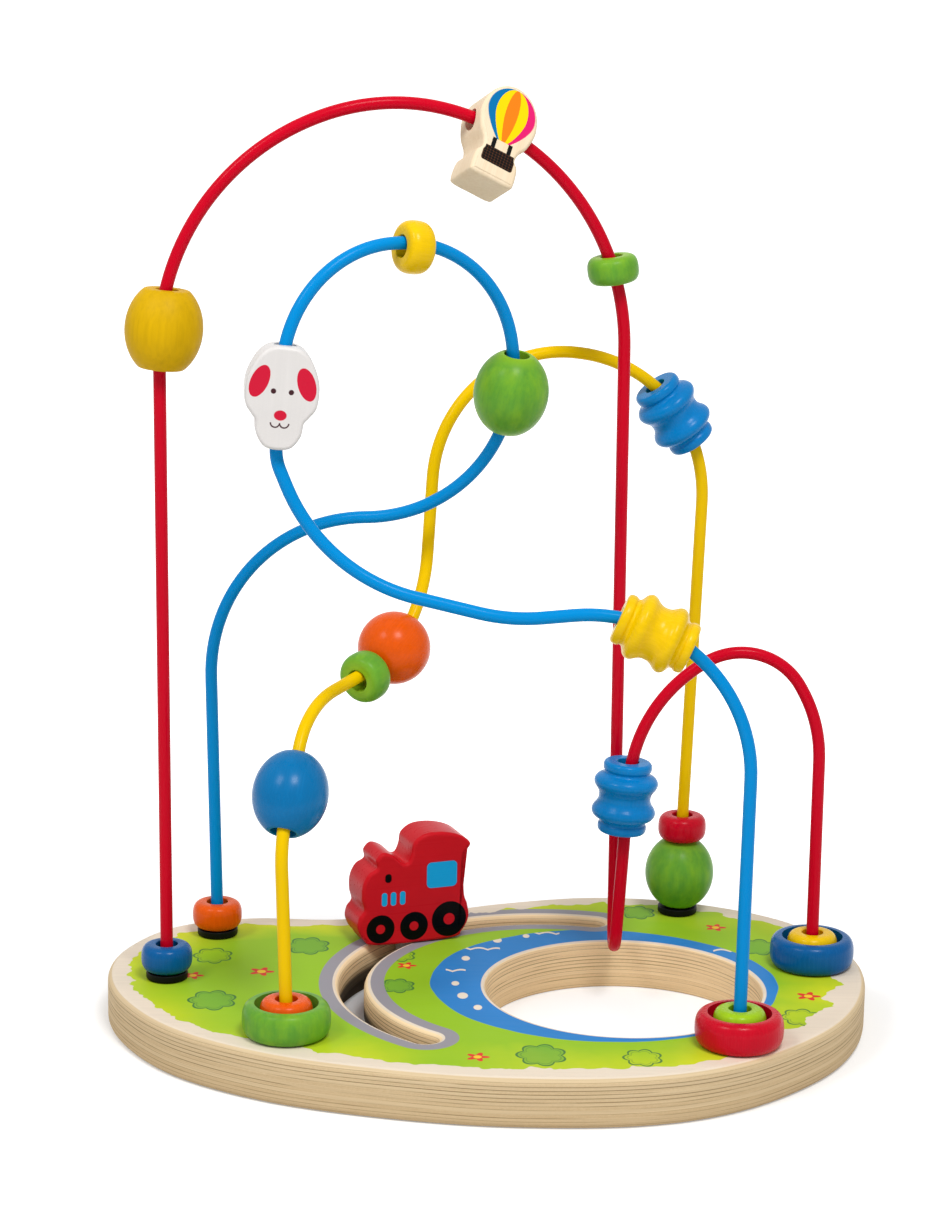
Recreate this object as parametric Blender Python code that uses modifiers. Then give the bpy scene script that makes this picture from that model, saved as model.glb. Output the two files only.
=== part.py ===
"""Bead maze: a plywood board, three bent wires with wooden beads, and a train that rides in a curved slot."""

import math

import bmesh
import bpy
from mathutils import Matrix, Vector

# Clearances and the overrun of every cut
GAP = 0.0003
OVERRUN = 0.005
MERGE = 0.00001

# Board
BOARD_LENGTH = 0.305
BOARD_DEPTH = 0.215
BOARD_THICKNESS = 0.020
BOARD_EDGE_ROUND = 0.003
BOARD_ROUND_STEPS = 2
BOARD_OUTLINE_SHARES = (
    (1.0, 0.13), (0.967, 0.419), (0.826, 0.749), (0.577, 0.949), (0.305, 1.0), (0.041, 0.905),
    (-0.193, 0.758), (-0.426, 0.674), (-0.661, 0.67), (-0.859, 0.553), (-0.974, 0.298), (-1.0, 0.019),
    (-0.941, -0.279), (-0.793, -0.577), (-0.549, -0.805), (-0.249, -0.94), (0.051, -1.0),
    (0.38, -0.97), (0.63, -0.819), (0.839, -0.53), (0.954, -0.223),
)
OUTLINE_STEPS = 3

# Round hole through the board
HOLE_DIAMETER = 0.1105
HOLE_PLACE_SHARES = (0.354, -0.065)
HOLE_RIM_ROUND = 0.001
HOLE_SIDES = 44

# Slot that the train rides in, an arc about its own centre
SLOT_RADIUS = 0.0795
SLOT_WIDTH = 0.010
SLOT_CENTRE_SHARES = (0.164, -0.037)
SLOT_FROM_DEGREES = 76.0
SLOT_TO_DEGREES = 232.0
SLOT_STEPS = 20
SLOT_END_STEPS = 5
TRACK_WIDTH = 0.0170
TRACK_DEPTH = 0.0070

# Wires
WIRE_DIAMETER = 0.0045
WIRE_RISE = 0.345
WIRE_STEP = 0.011
WIRE_STEP_DEGREES = 18.0
WIRE_END_HEIGHT = 0.0020
FOOT_BEND = 0.030
HAIRPIN_WIDTH = 0.017
HAIRPIN_LIFT = 0.0045

# Corners of each wire, from the left foot to the right one: shares of the half length, of the half depth
# and of the rise over the board, and the bend's radius as a share of the rise
RED_FOOT_LEFT_SHARES = (-0.84, -0.047)
RED_ARCH_SHARES = (
    (-0.854, -0.047, 0.923, 0.269),
    (-0.296, 0.093, 1.015, 0.237),
    (0.321, 0.372, 0.939, 0.285),
)
HAIRPIN_PLACE_SHARES = (0.338, 0.372)
RED_SMALL_ARCH_SHARES = (
    (0.376, 0.214, 0.315, 0.18),
    (0.71, 0.214, 0.411, 0.079),
    (0.862, 0.214, 0.297, 0.172),
)
RED_FOOT_RIGHT_SHARES = (0.864, 0.21)
BLUE_FOOT_LEFT_SHARES = (-0.736, 0.456)
BLUE_SHARES = (
    (-0.761, 0.437, 0.511, 0.202),
    (0.047, 0.167, 0.539, 0.189),
    (0.026, 0.019, 0.868, 0.155),
    (-0.508, -0.391, 0.854, 0.135),
    (-0.544, -0.419, 0.634, 0.058),
    (-0.425, -0.447, 0.508, 0.199),
    (0.035, -0.512, 0.466, 0.218),
    (0.637, -0.577, 0.498, 0.175),
)
BLUE_FOOT_RIGHT_SHARES = (0.624, -0.633)
YELLOW_FOOT_LEFT_SHARES = (-0.503, -0.614)
YELLOW_SHARES = (
    (-0.521, -0.577, 0.219, 0.103),
    (-0.468, -0.26, 0.346, 0.117),
    (-0.19, 0.316, 0.379, 0.141),
    (-0.148, 0.521, 0.727, 0.158),
    (0.57, 0.781, 0.681, 0.183),
)
YELLOW_FOOT_RIGHT_SHARES = (0.531, 0.819)

# Wire fastening: a black collar on the board, a washer and a nut in a counterbore under it
COLLAR_DIAMETER = 0.0166
COLLAR_HEIGHT = 0.0030
COLLAR_ROUND = 0.0006
COUNTERBORE_DIAMETER = 0.0125
COUNTERBORE_DEPTH = 0.0084
WASHER_DIAMETER = 0.0100
WASHER_THICKNESS = 0.0010
NUT_WIDTH = 0.0080
NUT_HEIGHT = 0.0040
NUT_SIDES = 6
SMALL_BORE_SIDES = 12

# Turned beads
BEAD_BORE = 0.0082
BORE_CHAMFER = 0.0004
RING_DIAMETER = 0.0203
RING_HEIGHT = 0.0108
RING_FLAT = 0.0125
RING_STEPS = 16
LARGE_RING_DIAMETER = 0.0340
LARGE_RING_HEIGHT = 0.0125
LARGE_RING_BORE = 0.0246
LARGE_RING_FLAT = 0.0262
LARGE_RING_STEPS = 20
ROUND_POWER = 2.6
EGG_DIAMETER = 0.0292
EGG_LENGTH = 0.0325
EGG_FLAT = 0.0150
EGG_BORE = 0.0094
BARREL_DIAMETER = 0.0300
BARREL_LENGTH = 0.0305
BARREL_FLAT = 0.0172
OVAL_DIAMETER = 0.0290
OVAL_LENGTH = 0.0290
OVAL_FLAT = 0.0130
BALL_DIAMETER = 0.0290
BALL_LENGTH = 0.0270
BALL_FLAT = 0.0107
BALL_GAP = 0.0020
BEAD_STEPS = 18
RIBBED_LENGTH = 0.0295
RIBBED_RIB = 0.0258
RIBBED_WAIST = 0.0204
RIBBED_GROOVE = 0.0184
RIBBED_NECK = 0.0194
RIBBED_END = 0.0170
RIBBED_RIB_AT = 0.0057
RIBBED_GROOVE_AT = 0.0104
RIBBED_NECK_AT = 0.0126

# Where the beads that hang on a wire sit, as shares of the wire's length over the board
BARREL_STATION_SHARE = 0.2379
BALLOON_STATION_SHARE = 0.4012
RED_WIRE_RING_STATION_SHARE = 0.4695
RIBBED_ON_RED_STATION_SHARE = 0.7911
EGG_ON_BLUE_STATION_SHARE = 0.3603
RING_ON_BLUE_STATION_SHARE = 0.4611
PUPPY_STATION_SHARE = 0.5664
RIBBED_ON_BLUE_STATION_SHARE = 0.7937
EGG_ON_YELLOW_STATION_SHARE = 0.1531
RING_ON_YELLOW_STATION_SHARE = 0.2681
RIBBED_ON_YELLOW_STATION_SHARE = 0.6452
RED_WIRE_RING_TIP_DEGREES = 11.0

# Flat figures that are threaded on the wires
FIGURE_THICKNESS = 0.0185
FIGURE_ROUND = 0.0015
FIGURE_STEPS = 2
BALLOON_WIDTH = 0.0245
BALLOON_HEIGHT = 0.0410
BALLOON_BORE_SHARE = 0.09
BALLOON_HALF_OUTLINE_SHARES = (
    (0.0, 0.5), (0.25, 0.453), (0.433, 0.324), (0.5, 0.149), (0.433, -0.027), (0.323, -0.135),
    (0.300, -0.215), (0.375, -0.285), (0.392, -0.44), (0.33, -0.495), (0.0, -0.5),
)
BALLOON_FACING = (0.45, -0.80, 0.40)
PUPPY_WIDTH = 0.0275
PUPPY_HEIGHT = 0.0385
PUPPY_HALF_OUTLINE_SHARES = (
    (0.0, 0.5), (0.22, 0.475), (0.38, 0.36), (0.49, 0.16), (0.485, -0.06), (0.39, -0.17),
    (0.33, -0.23), (0.30, -0.36), (0.18, -0.475), (0.0, -0.5),
)
PUPPY_FACING = (0.10, -0.98, 0.0)

# Train
TRAIN_LENGTH = 0.0480
TRAIN_HEIGHT = 0.0460
TRAIN_THICKNESS = 0.0190
TRAIN_ROUND = 0.0016
TRAIN_AT_DEGREES = 137.5
TRAIN_TURN_DEGREES = -26.5
TRAIN_OUTLINE_SHARES = (
    (-0.33, 0.0), (-0.45, 0.06), (-0.51, 0.17), (-0.50, 0.27), (-0.455, 0.34), (-0.475, 0.44),
    (-0.47, 0.57), (-0.42, 0.67), (-0.345, 0.72), (-0.35, 0.80), (-0.29, 0.86), (-0.20, 0.83),
    (-0.12, 0.755), (-0.065, 0.75), (-0.03, 0.83), (-0.01, 0.93), (0.09, 1.0), (0.25, 1.005),
    (0.41, 0.96), (0.505, 0.88), (0.475, 0.81), (0.45, 0.74), (0.455, 0.42), (0.485, 0.31),
    (0.50, 0.18), (0.44, 0.06), (0.33, 0.0),
)
TRAIN_OUTLINE_STEPS = 2
TRAIN_SCREW_DEPTH = 0.0160
SLEEVE_DIAMETER = 0.0094
SLEEVE_BORE = 0.0046
DISC_DIAMETER = 0.0150
DISC_THICKNESS = 0.0020
SCREW_DIAMETER = 0.0040
SCREW_HEAD_DIAMETER = 0.0078
SCREW_HEAD_HEIGHT = 0.0022
FASTENER_STEPS = 12

SHARP_DEGREES = 40.0
BEVEL_FROM_DEGREES = 60.0

WOOD = ((0.80, 0.62, 0.42), 0.55, 0.0)
FIGURE_WOOD = ((0.86, 0.74, 0.55), 0.5, 0.0)
RED = ((0.62, 0.01, 0.03), 0.3, 0.0)
BLUE = ((0.0, 0.20, 0.62), 0.3, 0.0)
YELLOW = ((0.88, 0.66, 0.0), 0.3, 0.0)
GREEN = ((0.16, 0.45, 0.03), 0.3, 0.0)
ORANGE = ((0.82, 0.13, 0.01), 0.3, 0.0)
WHITE = ((0.82, 0.80, 0.77), 0.35, 0.0)
BLACK = ((0.01, 0.01, 0.01), 0.4, 0.0)
SLEEVE_GREY = ((0.5, 0.5, 0.48), 0.4, 0.0)
STEEL = ((0.6, 0.6, 0.6), 0.3, 1.0)

DOWN = Vector((0.0, 0.0, -1.0))


def clear_scene():
    for obj in list(bpy.data.objects):
        bpy.data.objects.remove(obj)


def collection_named(name):
    collection = bpy.data.collections.new(name)
    bpy.context.scene.collection.children.link(collection)
    return collection


def material_for(name, finish):
    colour, roughness, metallic = finish
    material = bpy.data.materials.new(name)
    material.use_nodes = True
    shader = material.node_tree.nodes["Principled BSDF"]
    shader.inputs["Base Color"].default_value = (*colour, 1.0)
    shader.inputs["Roughness"].default_value = roughness
    shader.inputs["Metallic"].default_value = metallic
    return material


def add_object(name, data, finish, placed=None):
    """A piece of the maze, with its own material."""
    obj = bpy.data.objects.new(name, data)
    PARTS.objects.link(obj)
    if not data.materials:
        data.materials.append(material_for(name, finish))
    if placed is not None:
        obj.matrix_basis = placed
    return obj


def add_cutter(name, data, placed=None):
    cutter = bpy.data.objects.new(name, data)
    CUTTERS.objects.link(cutter)
    cutter.hide_render = True
    cutter.display_type = "WIRE"
    if placed is not None:
        cutter.matrix_basis = placed
    return cutter


def evaluated_mesh(obj):
    """The mesh that an object makes, with loose curve caps welded and flat faces joined."""
    graph = bpy.context.evaluated_depsgraph_get()
    mesh = bpy.data.meshes.new_from_object(obj.evaluated_get(graph))
    work = bmesh.new()
    work.from_mesh(mesh)
    bmesh.ops.remove_doubles(work, verts=work.verts, dist=MERGE)
    bmesh.ops.dissolve_limit(work, angle_limit=math.radians(1), verts=work.verts, edges=work.edges)
    work.to_mesh(mesh)
    work.free()
    return mesh


def slab_mesh(name, loop, thickness):
    """A flat outline in X and Y, made into a plate about Z = 0."""
    curve = bpy.data.curves.new(name, "CURVE")
    curve.dimensions = "2D"
    curve.fill_mode = "BOTH"
    curve.extrude = thickness / 2
    spline = curve.splines.new("POLY")
    spline.points.add(len(loop) - 1)
    for point, (x, y) in zip(spline.points, loop):
        point.co = (x, y, 0.0, 1.0)
    spline.use_cyclic_u = True
    guide = bpy.data.objects.new(name, curve)
    bpy.context.scene.collection.objects.link(guide)
    mesh = evaluated_mesh(guide)
    mesh.name = name
    bpy.data.objects.remove(guide)
    bpy.data.curves.remove(curve)
    return mesh


def turned_mesh(name, profile, steps):
    """A closed profile of (radius, height) points, turned about Z. It runs down the outer side."""
    mesh = bpy.data.meshes.new(name)
    count = len(profile)
    edges = [(i, (i + 1) % count) for i in range(count)]
    if profile[0][0] == 0:
        edges.pop()
    mesh.from_pydata([(radius, 0.0, height) for radius, height in profile], edges, [])
    guide = bpy.data.objects.new(name, mesh)
    bpy.context.scene.collection.objects.link(guide)
    screw = guide.modifiers.new("turn", "SCREW")
    screw.steps = screw.render_steps = steps
    screw.use_merge_vertices = True
    screw.merge_threshold = MERGE
    turned = bpy.data.meshes.new_from_object(guide.evaluated_get(bpy.context.evaluated_depsgraph_get()))
    turned.name = name
    bpy.data.objects.remove(guide)
    bpy.data.meshes.remove(mesh)
    turned.shade_smooth()
    turned.set_sharp_from_angle(angle=math.radians(SHARP_DEGREES))
    return turned


def cylinder_mesh(name, diameter, length, sides):
    """A cylinder about Z, from its top at Z = 0 down."""
    mesh = bpy.data.meshes.new(name)
    work = bmesh.new()
    bmesh.ops.create_cone(
        work, cap_ends=True, segments=sides, radius1=diameter / 2, radius2=diameter / 2, depth=length
    )
    bmesh.ops.translate(work, verts=work.verts, vec=(0.0, 0.0, -length / 2))
    work.to_mesh(mesh)
    work.free()
    return mesh


def cut(obj, cutter):
    modifier = obj.modifiers.new("cut " + cutter.name, "BOOLEAN")
    modifier.operation = "DIFFERENCE"
    modifier.object = cutter


def round_edges(obj, width, steps):
    modifier = obj.modifiers.new("round edges", "BEVEL")
    modifier.width = width
    modifier.segments = steps
    modifier.limit_method = "ANGLE"
    modifier.angle_limit = math.radians(BEVEL_FROM_DEGREES)


def smooth_loop(corners, steps):
    """A closed Catmull-Rom curve through the corners."""
    count = len(corners)
    loop = []
    for i in range(count):
        before, start, end, after = (Vector(corners[(i + k) % count]) for k in (-1, 0, 1, 2))
        for step in range(steps):
            t = step / steps
            loop.append(
                start
                + (end - before) * (t / 2)
                + (before * 2 - start * 5 + end * 4 - after) * (t**2 / 2)
                + (start * 3 - before - end * 3 + after) * (t**3 / 2)
            )
    return [(point.x, point.y) for point in loop]


def arc_band(radius, width, start, end):
    """The outline of a band of one width along an arc about the origin, with round ends."""

    def around(centre, reach, first, last, steps):
        for step in range(steps + 1):
            angle = first + (last - first) * step / steps
            yield centre[0] + reach * math.cos(angle), centre[1] + reach * math.sin(angle)

    ends = [(radius * math.cos(angle), radius * math.sin(angle)) for angle in (start, end)]
    outline = list(around((0.0, 0.0), radius + width / 2, start, end, SLOT_STEPS))
    outline += list(around(ends[1], width / 2, end, end + math.pi, SLOT_END_STEPS))[1:-1]
    outline += list(around((0.0, 0.0), radius - width / 2, end, start, SLOT_STEPS))
    outline += list(around(ends[0], width / 2, start + math.pi, start + 2 * math.pi, SLOT_END_STEPS))[1:-1]
    return outline


def on_board(shares):
    """A place on the board from shares of its half length and half depth."""
    return Vector((shares[0] * BOARD_LENGTH / 2, shares[1] * BOARD_DEPTH / 2, 0.0))


def over_board(shares):
    """A wire's corner and its bend from a row of shares."""
    corner = on_board(shares) + Vector((0.0, 0.0, BOARD_THICKNESS + shares[2] * WIRE_RISE))
    return corner, shares[3] * WIRE_RISE


class Wire:
    """A wire's centre line: straight runs joined by round bends, from one foot under the board to the other."""

    def __init__(self, left, corners, right):
        feet = [on_board(left), on_board(right)]
        lift = Vector((0.0, 0.0, BOARD_THICKNESS + COLLAR_HEIGHT))
        low = Vector((0.0, 0.0, WIRE_END_HEIGHT))
        rows = [(feet[0] + low, 0.0), (feet[0] + lift, FOOT_BEND), *corners]
        rows += [(feet[1] + lift, FOOT_BEND), (feet[1] + low, 0.0)]
        self.feet = feet
        self.corners = [row[0] for row in rows]
        self.bends = self.fitted([row[1] for row in rows])
        self.runs = []
        self.lay_runs()
        self.length = sum(run[0] for run in self.runs)
        self.below = BOARD_THICKNESS - WIRE_END_HEIGHT

    def tangent_lengths(self, bends):
        lengths = [0.0]
        for i in range(1, len(self.corners) - 1):
            back = (self.corners[i - 1] - self.corners[i]).normalized()
            ahead = (self.corners[i + 1] - self.corners[i]).normalized()
            lengths.append(bends[i] / math.tan(back.angle(ahead) / 2))
        return lengths + [0.0]

    def fitted(self, bends):
        """The bends, each no larger than its two runs leave room for."""
        bends = list(bends)
        for i in range(len(bends) - 1):
            needed = self.tangent_lengths(bends)
            room = (self.corners[i + 1] - self.corners[i]).length
            share = min(1.0, room / max(needed[i] + needed[i + 1], MERGE))
            bends[i] *= share
            bends[i + 1] *= share
        return bends

    def lay_runs(self):
        here = self.corners[0]
        needed = self.tangent_lengths(self.bends)
        for i in range(1, len(self.corners) - 1):
            corner, bend = self.corners[i], self.bends[i]
            back = (self.corners[i - 1] - corner).normalized()
            ahead = (self.corners[i + 1] - corner).normalized()
            start, end = corner + back * needed[i], corner + ahead * needed[i]
            self.runs.append(((start - here).length, here, start, None, 0.0))
            centre = corner + (back + ahead).normalized() * (bend / math.sin(back.angle(ahead) / 2))
            turn = math.pi - back.angle(ahead)
            normal = (start - centre).cross(end - centre).normalized()
            self.runs.append((bend * turn, start, centre, normal, turn))
            here = end
        self.runs.append(((self.corners[-1] - here).length, here, self.corners[-1], None, 0.0))

    def at(self, distance):
        """The point this far along the wire, measured from its first end."""
        for length, start, other, normal, turn in self.runs:
            if distance <= length or length is self.runs[-1][0]:
                break
            distance -= length
        if normal is None:
            return start + (other - start).normalized() * distance
        return other + Matrix.Rotation(turn * distance / length, 3, normal) @ (start - other)

    def bend_at(self, distance):
        """The centre and axis of the bend at this distance, or None on a straight run."""
        for length, start, other, normal, turn in self.runs:
            if distance <= length:
                return None if normal is None else (other, normal)
            distance -= length
        return None

    def points(self):
        found = [self.corners[0]]
        passed = 0.0
        for length, start, other, normal, turn in self.runs:
            if length > MERGE:
                steps = 1
                if normal is not None:
                    steps = max(length / WIRE_STEP, math.degrees(turn) / WIRE_STEP_DEGREES)
                steps = math.ceil(steps)
                found += [self.at(passed + length * (k + 1) / steps) for k in range(steps)]
            passed += length
        return found

    def station(self, share):
        """The distance of a place given as a share of the wire's length over the board."""
        return self.below + share * (self.length - 2 * self.below)


def make_wires():
    half_gap = Vector((0.0, HAIRPIN_WIDTH / 2, 0.0))
    hairpin = on_board(HAIRPIN_PLACE_SHARES) + Vector((0.0, 0.0, BOARD_THICKNESS + HAIRPIN_LIFT))
    red = [over_board(row) for row in RED_ARCH_SHARES]
    red += [(hairpin, half_gap.y), (hairpin - half_gap * 2, half_gap.y)]
    red += [over_board(row) for row in RED_SMALL_ARCH_SHARES]
    return {
        "red": Wire(RED_FOOT_LEFT_SHARES, red, RED_FOOT_RIGHT_SHARES),
        "blue": Wire(BLUE_FOOT_LEFT_SHARES, [over_board(row) for row in BLUE_SHARES], BLUE_FOOT_RIGHT_SHARES),
        "yellow": Wire(
            YELLOW_FOOT_LEFT_SHARES, [over_board(row) for row in YELLOW_SHARES], YELLOW_FOOT_RIGHT_SHARES
        ),
    }


def wire_mesh(name, wire):
    curve = bpy.data.curves.new(name, "CURVE")
    curve.dimensions = "3D"
    curve.bevel_depth = WIRE_DIAMETER / 2
    curve.bevel_resolution = 2
    curve.use_fill_caps = True
    points = wire.points()
    spline = curve.splines.new("POLY")
    spline.points.add(len(points) - 1)
    for point, place in zip(spline.points, points):
        point.co = (*place, 1.0)
    return curve


def rounded_half(outer, flat, length, steps):
    """The outer side of a bead with a full, round edge, from its top flat down to its bottom flat."""
    half = math.pi / 2
    points = []
    for step in range(2 * steps + 1):
        angle = step * half / steps
        reach = abs(math.sin(angle)) ** (2 / ROUND_POWER)
        rise = math.copysign(abs(math.cos(angle)) ** (2 / ROUND_POWER), math.cos(angle))
        if step == steps:
            rise = 0.0
        points.append((flat / 2 + (outer - flat) / 2 * reach, rise * length / 2))
    return points


def ellipse_half(outer, flat, length, steps):
    """The outer side of an egg with cut ends, from its top flat down to its bottom flat."""
    full = math.acos(flat / outer)
    tall = length / 2 / math.sin(full)
    return [
        (outer / 2 * math.cos(full * (1 - step / steps)), tall * math.sin(full * (1 - step / steps)))
        for step in range(2 * steps + 1)
    ]


def ribbed_half():
    """The outer side of the bead with two ribs, from its top flat down to its bottom flat."""

    def wave(low, high, at_low, at_high, steps):
        for step in range(steps):
            blend = (1 - math.cos(math.pi * step / steps)) / 2
            yield low + (high - low) * blend, at_low + (at_high - at_low) * step / steps

    top = [(RIBBED_END, RIBBED_LENGTH / 2)]
    top += wave(RIBBED_NECK, RIBBED_GROOVE, RIBBED_NECK_AT, RIBBED_GROOVE_AT, 2)
    top += wave(RIBBED_GROOVE, RIBBED_RIB, RIBBED_GROOVE_AT, RIBBED_RIB_AT, 4)
    top += wave(RIBBED_RIB, RIBBED_WAIST, RIBBED_RIB_AT, 0.0, 4)
    points = [(width / 2, height) for width, height in top]
    return points + [(RIBBED_WAIST / 2, 0.0)] + [(radius, -height) for radius, height in reversed(points)]


def bored(outer_side, bore):
    """The closed profile of a bead: its outer side, and its bore with chamfered mouths."""
    top, bottom = outer_side[0][1], outer_side[-1][1]
    mouth, wall = bore / 2 + BORE_CHAMFER, bore / 2
    inside = [(mouth, bottom), (wall, bottom + BORE_CHAMFER), (wall, top - BORE_CHAMFER), (mouth, top)]
    return [inside[-1], *outer_side, *inside[:-1]]


def seat(wire, distance, length, bore, lean, tip=0.0):
    """The centre and axis of a bead that hangs on the wire, shifted towards lean as far as its bore lets it.

    A bead that is tipped stays centred on the wire, and its axis turns by that angle towards the vertical.
    """
    before, middle, after = (wire.at(distance + k * length / 2) for k in (-1, 0, 1))
    axis = (after - before).normalized()
    if tip:
        return middle, Matrix.Rotation(tip, 3, axis.cross(DOWN)) @ axis
    chord = (before + after) / 2
    side = (lean - axis * lean.dot(axis)).normalized()
    play = (bore - WIRE_DIAMETER) / 2 - GAP - (middle - chord).length / 2
    return (middle + chord) / 2 + side * max(play, 0.0), axis


def frame_of(centre, z_axis, facing):
    """A piece's place: local Z along z_axis, and local -Y turned as near as it can be to facing."""
    z_axis = z_axis.normalized()
    y_axis = -(facing - z_axis * facing.dot(z_axis)).normalized()
    x_axis = y_axis.cross(z_axis)
    return Matrix.Translation(centre) @ Matrix((x_axis, y_axis, z_axis)).transposed().to_4x4()


def hang(obj, wire, distance):
    """On a bend, parents a bead to an empty on the bend's axis, which it turns about."""
    bend = wire.bend_at(distance)
    if bend is None:
        return
    centre, normal = bend
    pivot = bpy.data.objects.new(obj.name + "_bend_axis", None)
    PARTS.objects.link(pivot)
    pivot.matrix_basis = frame_of(centre, normal, obj.matrix_basis.translation - centre)
    obj.parent = pivot
    obj.matrix_parent_inverse = pivot.matrix_basis.inverted()


def add_hung_bead(name, wire, distance, outer_side, bore, finish, steps, lean=DOWN, tip=0.0):
    """A turned bead at this distance along a wire."""
    length = outer_side[0][1] - outer_side[-1][1]
    centre, axis = seat(wire, distance, length, bore, lean, tip)
    mesh = turned_mesh(name, bored(outer_side, bore), steps)
    bead = add_object(name, mesh, finish, frame_of(centre, axis, lean))
    hang(bead, wire, distance)
    return bead


def add_foot_bead(name, wire, end, height, outer_side, bore, finish, steps):
    """A turned bead that stands at a wire's foot, this high over the floor. end is 0 or 1."""
    middle = height + (outer_side[0][1] - outer_side[-1][1]) / 2
    along = middle - WIRE_END_HEIGHT
    place = wire.at(along if end == 0 else wire.length - along)
    mesh = turned_mesh(name, bored(outer_side, bore), steps)
    return add_object(name, mesh, finish, Matrix.Translation((place.x, place.y, middle)))


def mirrored_outline(half, width, height):
    right = [(x * width, y * height) for x, y in half]
    return right + [(-x, y) for x, y in reversed(right[1:-1])]


def build_board(wires):
    corners = [tuple(on_board(share).xy) for share in BOARD_OUTLINE_SHARES]
    loop = smooth_loop(corners, OUTLINE_STEPS)
    mesh = slab_mesh("base_board", loop[::-1], BOARD_THICKNESS)
    board = add_object("base_board", mesh, WOOD, Matrix.Translation((0.0, 0.0, BOARD_THICKNESS / 2)))
    start, end = math.radians(SLOT_FROM_DEGREES), math.radians(SLOT_TO_DEGREES)
    slot_centre = on_board(SLOT_CENTRE_SHARES)
    middle = slot_centre + Vector((0.0, 0.0, BOARD_THICKNESS / 2))
    tall = BOARD_THICKNESS + 2 * OVERRUN
    slot = slab_mesh("slot_cutter", arc_band(SLOT_RADIUS, SLOT_WIDTH, start, end), tall)
    cut(board, add_cutter("slot_cutter", slot, Matrix.Translation(middle)))
    round_edges(board, BOARD_EDGE_ROUND, BOARD_ROUND_STEPS)
    hole_top = on_board(HOLE_PLACE_SHARES) + Vector((0.0, 0.0, BOARD_THICKNESS + OVERRUN))
    hole = cylinder_mesh("hole_cutter", HOLE_DIAMETER, tall, HOLE_SIDES)
    cut(board, add_cutter("hole_cutter", hole, Matrix.Translation(hole_top)))
    round_edges(board, HOLE_RIM_ROUND, 1)
    track_tall = TRACK_DEPTH + OVERRUN
    track = slab_mesh("track_cutter", arc_band(SLOT_RADIUS, TRACK_WIDTH, start, end), track_tall)
    track_middle = slot_centre + Vector((0.0, 0.0, TRACK_DEPTH - track_tall / 2))
    cut(board, add_cutter("track_cutter", track, Matrix.Translation(track_middle)))
    bore = cylinder_mesh("bore_cutter", WIRE_DIAMETER + 2 * GAP, tall, SMALL_BORE_SIDES)
    counterbore = cylinder_mesh(
        "counterbore_cutter", COUNTERBORE_DIAMETER, COUNTERBORE_DEPTH + OVERRUN, SMALL_BORE_SIDES
    )
    for colour, wire in wires.items():
        for side, foot in zip(("left", "right"), wire.feet):
            place = foot + Vector((0.0, 0.0, BOARD_THICKNESS + OVERRUN))
            label = colour + "_" + side
            cut(board, add_cutter(label + "_bore_cutter", bore, Matrix.Translation(place)))
            place = foot + Vector((0.0, 0.0, COUNTERBORE_DEPTH))
            cut(board, add_cutter(label + "_counterbore_cutter", counterbore, Matrix.Translation(place)))


def build_wires(wires):
    for colour, finish in (("red", RED), ("blue", BLUE), ("yellow", YELLOW)):
        add_object(colour + "_wire", wire_mesh(colour + "_wire", wires[colour]), finish)


def plain_tube(outer, bore, bottom, top, rounding):
    """A tube's closed profile, with its outer edges cut back by the rounding."""
    return [
        (bore / 2, top),
        (outer / 2 - rounding, top),
        (outer / 2, top - rounding),
        (outer / 2, bottom + rounding),
        (outer / 2 - rounding, bottom),
        (bore / 2, bottom),
    ]


def nut_mesh():
    """A hexagon nut about Z, from its top at Z = 0 down."""
    across_corners = NUT_WIDTH / math.cos(math.pi / NUT_SIDES)
    blank = bpy.data.objects.new("nut", cylinder_mesh("nut", across_corners, NUT_HEIGHT, NUT_SIDES))
    bpy.context.scene.collection.objects.link(blank)
    bore = cylinder_mesh("nut_bore", WIRE_DIAMETER + 2 * GAP, NUT_HEIGHT + 2 * OVERRUN, SMALL_BORE_SIDES)
    cutter = add_cutter("nut_bore_cutter", bore, Matrix.Translation((0.0, 0.0, OVERRUN)))
    cut(blank, cutter)
    graph = bpy.context.evaluated_depsgraph_get()
    mesh = bpy.data.meshes.new_from_object(blank.evaluated_get(graph))
    bpy.data.objects.remove(blank)
    bpy.data.objects.remove(cutter)
    return mesh


def build_fastenings(wires):
    bore = WIRE_DIAMETER + 2 * GAP
    collar_base = BOARD_THICKNESS + GAP
    collar_profile = plain_tube(COLLAR_DIAMETER, bore, collar_base, collar_base + COLLAR_HEIGHT, COLLAR_ROUND)
    washer_top = COUNTERBORE_DEPTH - GAP
    washer_bottom = washer_top - WASHER_THICKNESS
    washer_profile = plain_tube(WASHER_DIAMETER, bore, washer_bottom, washer_top, WASHER_THICKNESS / 5)
    collar = turned_mesh("collar", collar_profile, BEAD_STEPS)
    washer = turned_mesh("washer", washer_profile, FASTENER_STEPS)
    nut = nut_mesh()
    nut_top = Vector((0.0, 0.0, washer_bottom - GAP))
    for colour, wire in wires.items():
        for side, foot in zip(("left", "right"), wire.feet):
            label = colour + "_" + side
            add_object(label + "_collar", collar, BLACK, Matrix.Translation(foot))
            add_object(label + "_washer", washer, STEEL, Matrix.Translation(foot))
            add_object(label + "_nut", nut, STEEL, Matrix.Translation(foot + nut_top))


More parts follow.
